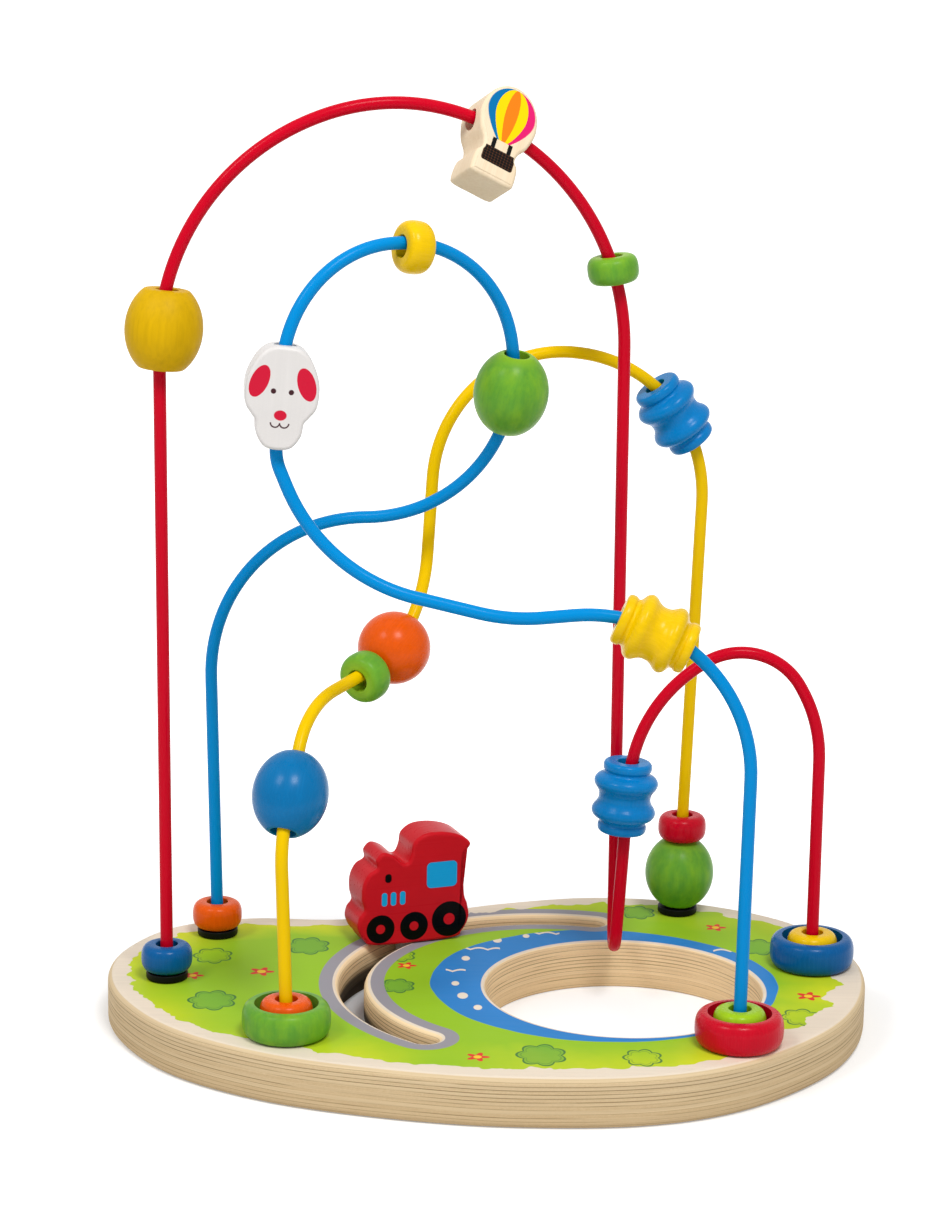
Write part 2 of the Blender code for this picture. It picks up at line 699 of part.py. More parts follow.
def build_foot_beads(wires):
    on_collar = BOARD_THICKNESS + COLLAR_HEIGHT + 2 * GAP
    on_top = BOARD_THICKNESS + GAP
    ring = rounded_half(RING_DIAMETER, RING_FLAT, RING_HEIGHT, 3)
    large = rounded_half(LARGE_RING_DIAMETER, LARGE_RING_FLAT, LARGE_RING_HEIGHT, 4)
    oval = ellipse_half(OVAL_DIAMETER, OVAL_FLAT, OVAL_LENGTH, 5)
    red, blue, yellow = wires["red"], wires["blue"], wires["yellow"]
    for name, wire, end, finish in (
        ("blue_ring", red, 0, BLUE),
        ("yellow_ring_right", red, 1, YELLOW),
        ("orange_ring_back", blue, 0, ORANGE),
        ("green_ring_front", blue, 1, GREEN),
        ("orange_ring_front", yellow, 0, ORANGE),
    ):
        add_foot_bead(name, wire, end, on_collar, ring, BEAD_BORE, finish, RING_STEPS)
    for name, wire, end, finish in (
        ("blue_large_ring", red, 1, BLUE),
        ("red_large_ring", blue, 1, RED),
        ("green_large_ring", yellow, 0, GREEN),
    ):
        add_foot_bead(name, wire, end, on_top, large, LARGE_RING_BORE, finish, LARGE_RING_STEPS)
    add_foot_bead("green_oval", yellow, 1, on_collar, oval, BEAD_BORE, GREEN, BEAD_STEPS)
    on_oval = on_collar + OVAL_LENGTH + GAP
    add_foot_bead("red_ring", yellow, 1, on_oval, ring, BEAD_BORE, RED, RING_STEPS)


def build_hung_beads(wires):
    ring = rounded_half(RING_DIAMETER, RING_FLAT, RING_HEIGHT, 3)
    egg = ellipse_half(EGG_DIAMETER, EGG_FLAT, EGG_LENGTH, 5)
    barrel = ellipse_half(BARREL_DIAMETER, BARREL_FLAT, BARREL_LENGTH, 5)
    ball = ellipse_half(BALL_DIAMETER, BALL_FLAT, BALL_LENGTH, 5)
    ribbed = ribbed_half()
    right, back = Vector((1.0, 0.0, 0.0)), Vector((0.0, 1.0, 0.0))
    red, blue, yellow = wires["red"], wires["blue"], wires["yellow"]
    for name, wire, share, side, bore, finish, steps, lean in (
        ("yellow_barrel", red, BARREL_STATION_SHARE, barrel, BEAD_BORE, YELLOW, BEAD_STEPS, right),
        ("blue_ribbed_low", red, RIBBED_ON_RED_STATION_SHARE, ribbed, BEAD_BORE, BLUE, RING_STEPS, -right),
        ("green_egg", blue, EGG_ON_BLUE_STATION_SHARE, egg, EGG_BORE, GREEN, BEAD_STEPS, DOWN),
        ("yellow_ring_on_blue", blue, RING_ON_BLUE_STATION_SHARE, ring, BEAD_BORE, YELLOW, RING_STEPS, DOWN),
        ("yellow_ribbed", blue, RIBBED_ON_BLUE_STATION_SHARE, ribbed, BEAD_BORE, YELLOW, RING_STEPS, DOWN),
        ("blue_egg", yellow, EGG_ON_YELLOW_STATION_SHARE, egg, EGG_BORE, BLUE, BEAD_STEPS, back),
        ("green_ring_on_yellow", yellow, RING_ON_YELLOW_STATION_SHARE, ring, BEAD_BORE, GREEN, RING_STEPS, DOWN),
        ("blue_ribbed_high", yellow, RIBBED_ON_YELLOW_STATION_SHARE, ribbed, BEAD_BORE, BLUE, RING_STEPS, DOWN),
    ):
        add_hung_bead(name, wire, wire.station(share), side, bore, finish, steps, lean)
    distance = red.station(RED_WIRE_RING_STATION_SHARE)
    tip = math.radians(RED_WIRE_RING_TIP_DEGREES)
    add_hung_bead("green_ring_on_red", red, distance, ring, BEAD_BORE, GREEN, RING_STEPS, DOWN, tip)
    beside_ring = yellow.station(RING_ON_YELLOW_STATION_SHARE) + RING_HEIGHT / 2 + BALL_GAP + BALL_LENGTH / 2
    add_hung_bead("orange_ball", yellow, beside_ring, ball, BEAD_BORE, ORANGE, BEAD_STEPS)


def add_figure(name, outline, raise_by, finish, placed, bore_turn):
    """A flat figure about its bore: its outline in local X and Z, its thickness along local Y."""
    loop = smooth_loop(outline, FIGURE_STEPS)
    mesh = slab_mesh(name, loop[::-1], FIGURE_THICKNESS)
    mesh.transform(Matrix.Rotation(math.pi / 2, 4, "X") @ Matrix.Translation((0.0, raise_by, 0.0)))
    figure = add_object(name, mesh, finish, placed)
    round_edges(figure, FIGURE_ROUND, 2)
    reach = BALLOON_HEIGHT + PUPPY_HEIGHT
    bore = cylinder_mesh(name + "_bore", BEAD_BORE, reach, SMALL_BORE_SIDES)
    bore.transform(bore_turn @ Matrix.Translation((0.0, 0.0, reach / 2)))
    cut(figure, add_cutter(name + "_bore_cutter", bore, placed))
    return figure


def build_figures(wires):
    red, blue = wires["red"], wires["blue"]
    distance = red.station(BALLOON_STATION_SHARE)
    centre, axis = seat(red, distance, BALLOON_WIDTH, BEAD_BORE, DOWN)
    facing = Vector(BALLOON_FACING)
    facing -= axis * facing.dot(axis)
    upright = frame_of(centre, facing.cross(axis), facing)
    outline = mirrored_outline(BALLOON_HALF_OUTLINE_SHARES, BALLOON_WIDTH, BALLOON_HEIGHT)
    across = Matrix.Rotation(math.pi / 2, 4, "Y")
    raise_by = -BALLOON_BORE_SHARE * BALLOON_HEIGHT
    balloon = add_figure("balloon_figure", outline, raise_by, FIGURE_WOOD, upright, across)
    hang(balloon, red, distance)
    distance = blue.station(PUPPY_STATION_SHARE)
    centre, axis = seat(blue, distance, PUPPY_HEIGHT, BEAD_BORE, Vector((0.0, 1.0, 0.0)))
    outline = mirrored_outline(PUPPY_HALF_OUTLINE_SHARES, PUPPY_WIDTH, PUPPY_HEIGHT)
    placed = frame_of(centre, -axis if axis.z < 0 else axis, Vector(PUPPY_FACING))
    puppy = add_figure("puppy_figure", outline, 0.0, WHITE, placed, Matrix.Identity(4))
    hang(puppy, blue, distance)


def build_train():
    """The train, and the sleeve, disc and screw that hold it in the slot."""
    angle = math.radians(TRAIN_AT_DEGREES)
    slot_centre = on_board(SLOT_CENTRE_SHARES)
    outward = Vector((math.cos(angle), math.sin(angle), 0.0))
    axis_place = slot_centre + outward * SLOT_RADIUS
    forward = Vector((-outward.y, outward.x, 0.0))
    base = BOARD_THICKNESS + GAP
    placed = Matrix.Translation(axis_place + Vector((0.0, 0.0, base)))
    placed @= Matrix((-forward, outward, Vector((0.0, 0.0, 1.0)))).transposed().to_4x4()
    placed @= Matrix.Rotation(math.radians(TRAIN_TURN_DEGREES), 4, "Z")
    outline = [(x * TRAIN_LENGTH, y * TRAIN_HEIGHT) for x, y in TRAIN_OUTLINE_SHARES]
    loop = smooth_loop(outline, TRAIN_OUTLINE_STEPS)
    low = min(y for x, y in loop)
    mesh = slab_mesh("train", loop, TRAIN_THICKNESS)
    mesh.transform(Matrix.Rotation(math.pi / 2, 4, "X") @ Matrix.Translation((0.0, -low, 0.0)))
    train = add_object("train", mesh, RED, placed)
    round_edges(train, TRAIN_ROUND, 2)
    hole = cylinder_mesh("screw_hole", SCREW_DIAMETER + 2 * GAP, TRAIN_SCREW_DEPTH + OVERRUN, SMALL_BORE_SIDES)
    hole_top = placed @ Matrix.Translation((0.0, 0.0, TRAIN_SCREW_DEPTH))
    cut(train, add_cutter("screw_hole_cutter", hole, hole_top))
    disc_top = TRACK_DEPTH - GAP
    disc_bottom = disc_top - DISC_THICKNESS
    at_axis = Matrix.Translation(axis_place)
    sleeve = plain_tube(SLEEVE_DIAMETER, SLEEVE_BORE, disc_top + GAP, base - GAP, GAP)
    add_object("train_guide_sleeve", turned_mesh("train_guide_sleeve", sleeve, FASTENER_STEPS), SLEEVE_GREY, at_axis)
    disc = plain_tube(DISC_DIAMETER, SLEEVE_BORE, disc_bottom, disc_top, GAP)
    add_object("train_retainer_disc", turned_mesh("train_retainer_disc", disc, FASTENER_STEPS), STEEL, at_axis)
    head_top = disc_bottom - GAP
    shank_top = base + TRAIN_SCREW_DEPTH - GAP
    screw = [
        (0.0, shank_top),
        (SCREW_DIAMETER / 4, shank_top),
        (SCREW_DIAMETER / 2, shank_top - SCREW_DIAMETER / 2),
        (SCREW_DIAMETER / 2, head_top),
        (SCREW_HEAD_DIAMETER / 2, head_top),
        (SCREW_HEAD_DIAMETER / 2, head_top - SCREW_HEAD_HEIGHT / 2),
        (SCREW_HEAD_DIAMETER / 3, head_top - SCREW_HEAD_HEIGHT),
        (0.0, head_top - SCREW_HEAD_HEIGHT),
    ]
    add_object("train_screw", turned_mesh("train_screw", screw, FASTENER_STEPS), STEEL, at_axis)


def build():
    wires = make_wires()
    build_board(wires)
    build_wires(wires)
    build_fastenings(wires)
    build_foot_beads(wires)
    build_hung_beads(wires)
    build_figures(wires)
    build_train()
    return wires


clear_scene()
PARTS = collection_named("bead_maze")
CUTTERS = collection_named("cutters")
WIRES = build()
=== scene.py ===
"""A wooden bead maze: lacquered beads on coated wires over a printed board, with a train in its slot."""

import math

import bmesh
import bpy
import numpy as np
from bpy.props import FloatProperty, FloatVectorProperty, PointerProperty
from mathutils import Matrix, Vector


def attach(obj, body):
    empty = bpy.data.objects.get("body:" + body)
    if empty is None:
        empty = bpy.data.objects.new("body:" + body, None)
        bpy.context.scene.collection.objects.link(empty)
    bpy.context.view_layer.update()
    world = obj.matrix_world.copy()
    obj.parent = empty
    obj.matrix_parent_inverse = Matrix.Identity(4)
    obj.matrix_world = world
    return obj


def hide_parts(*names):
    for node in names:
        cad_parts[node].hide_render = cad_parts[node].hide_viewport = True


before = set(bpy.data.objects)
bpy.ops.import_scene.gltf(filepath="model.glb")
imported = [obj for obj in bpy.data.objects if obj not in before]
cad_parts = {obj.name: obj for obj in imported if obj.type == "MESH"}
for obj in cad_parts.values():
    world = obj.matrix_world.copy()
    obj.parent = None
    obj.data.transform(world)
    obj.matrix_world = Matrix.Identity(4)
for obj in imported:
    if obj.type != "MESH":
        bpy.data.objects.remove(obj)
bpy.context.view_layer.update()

bl_info = {
    "name": "Bead maze",
    "version": (1, 0, 0),
    "blender": (4, 5, 0),
    "location": "View3D > Sidebar > Bead maze",
    "description": "Models a bead maze: a printed board, bent wires, wooden beads, two figures and a train",
    "category": "Object",
}

MM = 0.001
MERGE = 0.001 * MM
NEAR = 10 * MERGE
SHARP = math.radians(35)

# The photograph's camera, in the model's own frame
IMAGE_HEIGHT = 1215
FOCAL_PIXELS = 3200.0
CAMERA_PLACE = (-0.0097, -1.2145, 0.4575)
CAMERA_TILT = math.radians(90 - 13.2)
CAMERA_ROLL = math.radians(0.97)

# Board
BOARD_LENGTH = 0.305
BOARD_DEPTH = 0.215
BOARD_TOP = 0.020
BOARD_OUTLINE = (
    (1.0, 0.13), (0.967, 0.419), (0.826, 0.749), (0.577, 0.949), (0.305, 1.0), (0.041, 0.905),
    (-0.193, 0.758), (-0.426, 0.674), (-0.661, 0.67), (-0.859, 0.553), (-0.974, 0.298), (-1.0, 0.019),
    (-0.941, -0.279), (-0.793, -0.577), (-0.549, -0.805), (-0.249, -0.94), (0.051, -1.0),
    (0.38, -0.97), (0.63, -0.819), (0.839, -0.53), (0.954, -0.223),
)
PLY = BOARD_TOP / 13
HOLE_PLACE = (0.05399, -0.00699)
HOLE_RADIUS = 0.05525
SLOT_PLACE = (0.02501, -0.00398)
SLOT_RADIUS = 0.0795
SLOT_WIDTH = 0.010
SLOT_FROM = math.radians(76)
SLOT_TO = math.radians(232)
SLOT_PAST = 0.1
TRACK_WIDTH = 0.017
# Below this height the slot's walls carry a painted shade, nearly black
SLOT_PAINTED_SHADE_BELOW = 0.0115
TRACK_DEPTH = 0.007
HOLE_ROUND = 0.001
BOARD_CUT = (-0.01, 0.03)
COUNTERBORE_RADIUS = 0.00625
COUNTERBORE_DEPTH = 0.0084

# Wires: feet, and corners with the radius of their bend, as shares of the half board and of the rise
WIRE_RADIUS = 0.00225
COAT_RADIUS = 0.0025
COAT_END = BOARD_TOP + 0.00015
WIRE_RISE = 0.345
WIRE_END = 0.002
WIRE_LIFT = BOARD_TOP + 0.003
FOOT_BEND = 0.030
HAIRPIN_HALF = 0.0085
HAIRPIN_Z = BOARD_TOP + 0.0045
HAIRPIN_SHARE = (0.338, 0.372)
RED_FEET = ((-0.84, -0.047), (0.864, 0.21))
RED_ARCH = ((-0.854, -0.047, 0.923, 0.269), (-0.296, 0.093, 1.015, 0.237), (0.321, 0.372, 0.939, 0.285))
RED_SMALL_ARCH = ((0.376, 0.214, 0.315, 0.18), (0.71, 0.214, 0.411, 0.079), (0.862, 0.214, 0.297, 0.172))
BLUE_FEET = ((-0.736, 0.456), (0.624, -0.633))
BLUE_CORNERS = (
    (-0.761, 0.437, 0.511, 0.202), (0.047, 0.167, 0.539, 0.189), (0.026, 0.019, 0.868, 0.155),
    (-0.508, -0.391, 0.854, 0.135), (-0.544, -0.419, 0.634, 0.058), (-0.425, -0.447, 0.508, 0.199),
    (0.035, -0.512, 0.466, 0.218), (0.637, -0.577, 0.498, 0.175),
)
YELLOW_FEET = ((-0.503, -0.614), (0.531, 0.819))
YELLOW_CORNERS = (
    (-0.521, -0.577, 0.219, 0.103), (-0.468, -0.26, 0.346, 0.117), (-0.19, 0.316, 0.379, 0.141),
    (-0.148, 0.521, 0.727, 0.158), (0.57, 0.781, 0.681, 0.183),
)
COLLAR_RADIUS = 0.0083
COLLAR_HEIGHT = 0.003
COLLAR_ROUND = 0.0006
COLLAR_GAP = 0.00003
BORE_PLAY = 0.0003

# Beads: the widest radius, the radius of the flat ends, the half length, the bore's radius
RING = (0.01015, 0.00625, 0.0054, 0.00435)
LARGE_RING = (0.0170, 0.0131, 0.00625, 0.0123)
EGG = (0.0146, 0.0060, 0.0158, 0.00495)
BARREL = (0.0150, 0.0086, 0.01525, 0.00435)
OVAL = (0.0145, 0.0065, 0.0145, 0.00435)
BALL = (0.0145, 0.00535, 0.0135, 0.00435)
BALL_ROUND = 0.0004
RIBBED_BORE = 0.00435
RIBBED_STOPS = (
    (0.0088, 0.01475), (0.0097, 0.0137), (0.0098, 0.0118), (0.0092, 0.0106), (0.0097, 0.0096),
    (0.0117, 0.0084), (0.0127, 0.0071), (0.0129, 0.0058), (0.0124, 0.0044), (0.0114, 0.0030),
    (0.0107, 0.0016), (0.0105, 0.0),
)
RIBBED_BEYOND = (0.0080, 0.0156)

# Figures: width and height, and outlines as shares of them
FIGURE_HALF_THICK = 0.00925
FIGURE_CUT = (-0.03, 0.03)
BALLOON_SIZE = (0.0245, 0.0410)
BALLOON_RAISE = -0.09 * BALLOON_SIZE[1]
BALLOON_HALF_OUTLINE = (
    (0.0, 0.5), (0.25, 0.453), (0.433, 0.324), (0.5, 0.149), (0.433, -0.027), (0.323, -0.135),
    (0.300, -0.215), (0.375, -0.285), (0.392, -0.44), (0.33, -0.495), (0.0, -0.5),
)
PUPPY_SIZE = (0.0275, 0.0385)
PUPPY_HALF_OUTLINE = (
    (0.0, 0.5), (0.22, 0.475), (0.38, 0.36), (0.49, 0.16), (0.485, -0.06), (0.39, -0.17),
    (0.33, -0.23), (0.30, -0.36), (0.18, -0.475), (0.0, -0.5),
)
TRAIN_SIZE = (0.0480, 0.0460)
TRAIN_HALF_THICK = 0.0095
TRAIN_OUTLINE = (
    (-0.33, 0.0), (-0.45, 0.06), (-0.51, 0.17), (-0.50, 0.27), (-0.455, 0.34), (-0.475, 0.44),
    (-0.47, 0.57), (-0.42, 0.67), (-0.345, 0.72), (-0.35, 0.80), (-0.29, 0.86), (-0.20, 0.83),
    (-0.12, 0.755), (-0.065, 0.75), (-0.03, 0.83), (-0.01, 0.93), (0.09, 1.0), (0.25, 1.005),
    (0.41, 0.96), (0.505, 0.88), (0.475, 0.81), (0.45, 0.74), (0.455, 0.42), (0.485, 0.31),
    (0.50, 0.18), (0.44, 0.06), (0.33, 0.0),
)
TRAIN_PLACE = Matrix((
    (0.93358, -0.358368, 0, -0.033604), (0.358368, 0.93358, 0, 0.049732), (0, 0, 1, 0.0203), (0, 0, 0, 1),
))
TRAIN_HOLE_RADIUS = 0.0023
TRAIN_HOLE_CUT = (-0.005, 0.016)

# Prints on the board, in millimetres from its middle
BUSHES = (
    (-108, -30, 9.5), (-74, 36, 9), (20, -83, 9.5), (96, -70, 8), (112, 44, 8.5), (64, 86, 7.5),
    (-36, -10, 7), (-22, -70, 7.5), (-8, 70, 7),
)
OPEN_BUSHES = ((-46, -34, 8.5), (-112, 22, 8), (-36, 26, 6.5), (58, -84, 7.5), (122, -38, 8))
BUSH_LOBES = 3.5
FLOWERS = (
    (-91, 4, 5.2), (-66, -62, 5.0), (-4, -86, 4.6), (127, -14, 5.0), (-33, 14, 4.2), (96, 68, 4.6),
    (-46, -33, 4.2), (-118, -2, 4.4),
)
PETALS = 5
SCALLOPS = 17
POND_PLACE = (46.5, -3.0)
POND_RADIUS = 65
POND_STRETCH = 1.07
PEBBLES = ((-10, -20, 3.0), (-4, -33, 2.4), (-13, -6, 2.2), (4, 47, 2.6), (16, 53, 2.0), (-9, 24, 2.4))
RIPPLES = ((-3, 35, 8), (22, 56, 8), (-13, 8, 4), (98, 38, 5))
ROAD_RIM = 5.4
HOLE_RIM = 1.6
WALL_RIM = 1.3

# Print on the train, in millimetres from the middle of its foot
WHEELS = ((-15.0, 7.5, 6.1), (-0.4, 7.5, 6.1), (15.0, 9.0, 7.6))
HUB_SHARE = 0.32
VENTS = (-13.4, -9.5, -5.5)

# Stage: the patch round the maze where the floor glows less, and the lamps
FLOOR_SIZE = 60.0
FLOOR_SHIFT = 20.0
PATCH_Y = -0.05
PATCH_REACH = 0.265
PATCH_BLUR = 0.085
KEY_PLACE = (0.30, -0.90, 1.50)
FILL_PLACE = (-0.85, -0.70, 1.40)
LAMP_SIZE = 0.45
LAMP_AIM = (0, 0, 0.12)


def linear(red, green, blue):
    """A colour for a shader from the 0 to 255 numbers of a picture."""
    return tuple(
        c / 255 / 12.92 if c < 11 else ((c / 255 + 0.055) / 1.055) ** 2.4 for c in (red, green, blue)
    )


# Inks of the prints, a painted shade for the slot's lower walls, and the zinc and the plastic under the board
BUSH_INK = linear(84, 160, 44)
BUSH_LINE_INK = linear(44, 112, 44)
PETAL_INK = linear(222, 48, 24)
FLOWER_INK = linear(246, 208, 40)
GORE_YELLOW = linear(250, 214, 0)
GORE_ORANGE = linear(240, 128, 20)
GORE_PINK = linear(226, 30, 110)
BASKET_INK = linear(120, 70, 40)
EAR_INK = linear(206, 16, 52)
EYE_INK = linear(60, 22, 30)
WINDOW_INK = linear(24, 164, 224)
WINDOW_LINE_INK = linear(96, 30, 70)
# Painted shade: the near-black colour of the slot's lower walls
SLOT_PAINTED_SHADE = linear(28, 24, 22)
BALLOON_WOOD = (linear(252, 236, 208), linear(224, 198, 160))
ZINC = ((0.46, 0.47, 0.49), (0.68, 0.69, 0.70))
GREY_PLASTIC = ((0.40, 0.40, 0.39), (0.55, 0.55, 0.53))


def colour_property(name, description, shade):
    return FloatVectorProperty(
        name=name, description=description, subtype="COLOR", size=3, min=0, max=1, default=shade
    )


class MazeColours(bpy.types.PropertyGroup):
    """The colours of the paints and of the bare wood."""

    red: colour_property("Red", "Red lacquer and red wire coating", linear(203, 2, 34))
    train_red: colour_property("Train red", "Red lacquer of the train", linear(206, 24, 36))
    blue: colour_property("Blue", "Blue lacquer of the egg", linear(0, 112, 172))
    bright_blue: colour_property("Bright blue", "Blue lacquer of the ribbed beads", linear(0, 128, 200))
    deep_blue: colour_property("Deep blue", "Blue lacquer of the rings on the board", linear(0, 90, 154))
    wire_blue: colour_property("Wire blue", "Blue wire coating", linear(0, 139, 211))
    yellow: colour_property("Yellow", "Yellow lacquer and yellow wire coating", linear(241, 197, 0))
    matt_yellow: colour_property("Matt yellow", "Yellow stain of the barrel", linear(216, 171, 0))
    green: colour_property("Green", "Green lacquer", linear(98, 162, 50))
    # Lime green is also the painted sheen round the green beads' bores
    lime_green: colour_property("Lime green", "Thin lacquer, and the front ring", linear(160, 202, 24))
    orange: colour_property("Orange", "Orange lacquer", linear(236, 90, 6))
    white: colour_property("White", "White lacquer of the dog's head", linear(225, 221, 218))
    black: colour_property("Black", "Black collars and black prints", linear(6, 6, 6))
    wood: colour_property("Wood", "Bare face of the plywood", linear(243, 228, 207))
    ply_light: colour_property("Light plies", "Plies with the grain along the edge", linear(232, 208, 168))
    ply_dark: colour_property("Dark plies", "Plies whose grain is cut across", linear(206, 173, 124))
    meadow: colour_property("Meadow", "Grass green of the print", linear(148, 196, 0))
    meadow_light: colour_property("Light meadow", "Yellow green of the print", linear(206, 218, 0))
    pond: colour_property("Pond", "Blue of the printed pond", linear(8, 128, 204))
    road: colour_property("Road", "Grey of the printed band along the slot", linear(150, 148, 156))


def number(name, description, value, **unit):
    return FloatProperty(name=name, description=description, default=value, **unit)


class MazeSizes(bpy.types.PropertyGroup):
    """The sizes of the roundings and the prints."""

    board_round: number("Board rounding", "Rounding of the board's edges", 0.003, unit="LENGTH")
    figure_round: number("Figure rounding", "Rounding of the figures' edges", 0.0015, unit="LENGTH")
    bead_round: number("Bead rounding", "Rounding at the ends of a bead", 0.0006, unit="LENGTH")
    print_margin: number("Print margin", "Bare rim between print and edge", 0.008, unit="LENGTH")
    road_width: number("Road width", "Width of the grey band along the slot", 0.026, unit="LENGTH")


class MazeStage(bpy.types.PropertyGroup):
    """The light and the floor."""

    key_power: number("Key light", "Power of the large soft light", 14.6, unit="POWER")
    fill_power: number("Fill light", "Power of the light on the left", 7.0, unit="POWER")
    sky: number("Sky", "Strength of the light from all around", 0.45)
    floor_glow: number("Floor glow", "What the camera sees added to the floor", 0.30)


def colours():
    return bpy.context.scene.maze_colours


def sizes():
    return bpy.context.scene.maze_sizes


# Shader nodes

def by(operation):
    """An operator of Value that adds one Math node."""
    return lambda self, other: self.math(operation, self, other)


class Value:
    """A socket of a paint. A sum on it adds the Math node that it needs."""

    def __init__(self, paint, socket):
        self.paint = paint
        self.socket = socket

    def math(self, operation, *terms):
        return self.paint.node("ShaderNodeMath", {"operation": operation}, dict(enumerate(terms)))

    __add__ = __radd__ = by("ADD")
    __sub__ = by("SUBTRACT")
    __mul__ = __rmul__ = by("MULTIPLY")
    __truediv__ = by("DIVIDE")
    __pow__ = by("POWER")
    __or__ = by("MAXIMUM")
    __and__ = by("MINIMUM")

    def __rsub__(self, other):
        return self.math("SUBTRACT", other, self)

    def __abs__(self):
        return self.math("ABSOLUTE", self)

    def inside(self, limit, blur=0.12 * MM):
        """1 below the limit and 0 above it, with a soft step."""
        return self.paint.node(
            "ShaderNodeMapRange", {"clamp": True},
            {
                "Value": self, "From Min": limit - blur, "From Max": limit + blur,
                "To Min": 1.0, "To Max": 0.0,
            },
        )

    def outside(self, limit, blur=0.12 * MM):
        return 1 - self.inside(limit, blur)


class Paint:
    """The nodes of one material or of the world."""

    def __init__(self, tree):
        self.tree = tree

    def node(self, kind, settings=(), sockets=(), output=0):
        """Adds a node with its settings and the values or links of its sockets, and returns one output."""
        made = self.tree.nodes.new(kind)
        for name, value in dict(settings).items():
            if name == "curve":
                curve = made.mapping.curves[0]
                for x, y in value[1:-1]:
                    curve.points.new(x, y)
                for point, (x, y) in zip(curve.points, value):
                    point.location = (x, y)
                made.mapping.update()
            elif name == "stops":
                for _ in value[2:]:
                    made.color_ramp.elements.new(1.0)
                for element, (position, shade) in zip(made.color_ramp.elements, value):
                    element.position = position
                    element.color = (*shade, 1.0)
            elif name == "ramp":
                made.color_ramp.interpolation = value
            else:
                setattr(made, name, value)
        for name, value in dict(sockets).items():
            if isinstance(value, Value):
                self.tree.links.new(value.socket, made.inputs[name])
            else:
                made.inputs[name].default_value = value
        return Value(self, made.outputs[output])

    def parts(self, vector):
        split = self.node("ShaderNodeSeparateXYZ", {}, {0: vector})
        return [Value(self, socket) for socket in split.socket.node.outputs]

    def reach(self, x, y):
        """The distance from the origin of the point with these two coordinates."""
        joined = self.node("ShaderNodeCombineXYZ", {}, {0: x, 1: y})
        return self.node("ShaderNodeVectorMath", {"operation": "LENGTH"}, {0: joined}, "Value")

    def mix(self, share, first, second):
        """Two colours mixed by a share."""
        first, second = (c if isinstance(c, Value) else (*c, 1.0) for c in (first, second))
        return self.node("ShaderNodeMix", {"data_type": "RGBA"}, {0: share, 6: first, 7: second}, 2)

    def noise(self, vector, waves, detail=2.0, roughness=0.5):
        """Noise from 0 to 1, with so many waves to a metre, or so many along each axis."""
        if not isinstance(waves, (tuple, list)):
            waves = (waves,) * 3
        scaled = self.node("ShaderNodeVectorMath", {"operation": "MULTIPLY"}, {0: vector, 1: tuple(waves)})
        settings = {"Vector": scaled, "Scale": 1.0, "Detail": detail, "Roughness": roughness}
        return self.node("ShaderNodeTexNoise", {}, settings)

    def box(self, x, y, place, half, corner):
        """A rectangle with round corners, in millimetres."""
        over = [(abs(v - p * MM) - (h - corner) * MM) | 0.0 for v, p, h in zip((x, y), place, half)]
        return self.reach(*over).inside(corner * MM)


class Surface(Paint):
    """A material with one shader, and the nodes that give it its look."""

    def __init__(self, name, roughness=0.4, coat=0.0, coat_roughness=0.1, metallic=0.0, specular=0.5):
        self.material = bpy.data.materials.new(name)
        self.material.use_nodes = True
        super().__init__(self.material.node_tree)
        self.shader = self.tree.nodes["Principled BSDF"]
        for socket, value in (
            ("Roughness", roughness), ("Coat Weight", coat), ("Coat Roughness", coat_roughness),
            ("Metallic", metallic), ("Specular IOR Level", specular),
        ):
            self.shader.inputs[socket].default_value = value
        self.place = self.node("ShaderNodeTexCoord", output="Object")
        self.own = self.node("ShaderNodeAttribute", {"attribute_name": "own_place"}, output="Vector")

    def bump(self, height, distance, strength=0.5):
        sockets = {"Height": height, "Distance": distance, "Strength": strength}
        made = self.node("ShaderNodeBump", {}, sockets)
        self.tree.links.new(made.socket, self.shader.inputs["Normal"])

    def set(self, **links):
        for name, value in links.items():
            self.tree.links.new(value.socket, self.shader.inputs[name.replace("_", " ")])
        return self.material


def shaded(shade, factor):
    return tuple(min(1.0, c * factor) for c in shade)


def lacquer_grain(paint, shade, contrast, lines=0.5, along=2):
    """Thin lacquer over turned wood: a little grain shows through, and the colour pools in patches."""
    waves = [800.0] * 3
    waves[along] = 22.0
    fibre = paint.noise(paint.own, waves, 3.0, 0.6)
    patch = paint.noise(paint.own, 90.0)
    tone = (fibre * lines + patch * (1 - lines) - 0.3) * 2.2
    paint.bump(fibre, 0.04 * MM, 0.3)
    return paint.mix(tone, shaded(shade, 1 - contrast), shaded(shade, 1 + contrast * 0.5)), fibre


def lacquer(name, shade, contrast):
    paint = Surface(name, 0.29, 0.05, 0.14, specular=0.11)
    colour, fibre = lacquer_grain(paint, shade, contrast)
    return paint.set(Base_Color=colour, Roughness=fibre * 0.12 + 0.21)


def mottled_lacquer(name, shade, thin):
    """Lacquer that lies unevenly, thinner and paler in soft spots, with a painted lime sheen round the bead's
    bore.
    """
    paint = Surface(name, 0.36, 0.04, 0.16, specular=0.11)
    colour, fibre = lacquer_grain(paint, shade, 0.18, 0.45)
    spots = paint.noise(paint.own, (190, 190, 95), 4.0, 0.65)
    x, y, _ = paint.parts(paint.own)
    # Painted sheen: the lime round the bore stands for light caught on the bead's ends
    ends = paint.reach(x, y).inside(8.0 * MM, 2.2 * MM)
    colour = paint.mix(spots.outside(0.56, 0.16) * 0.34 | ends * 0.6, colour, thin)
    return paint.set(Base_Color=colour, Roughness=fibre * 0.12 + 0.30)


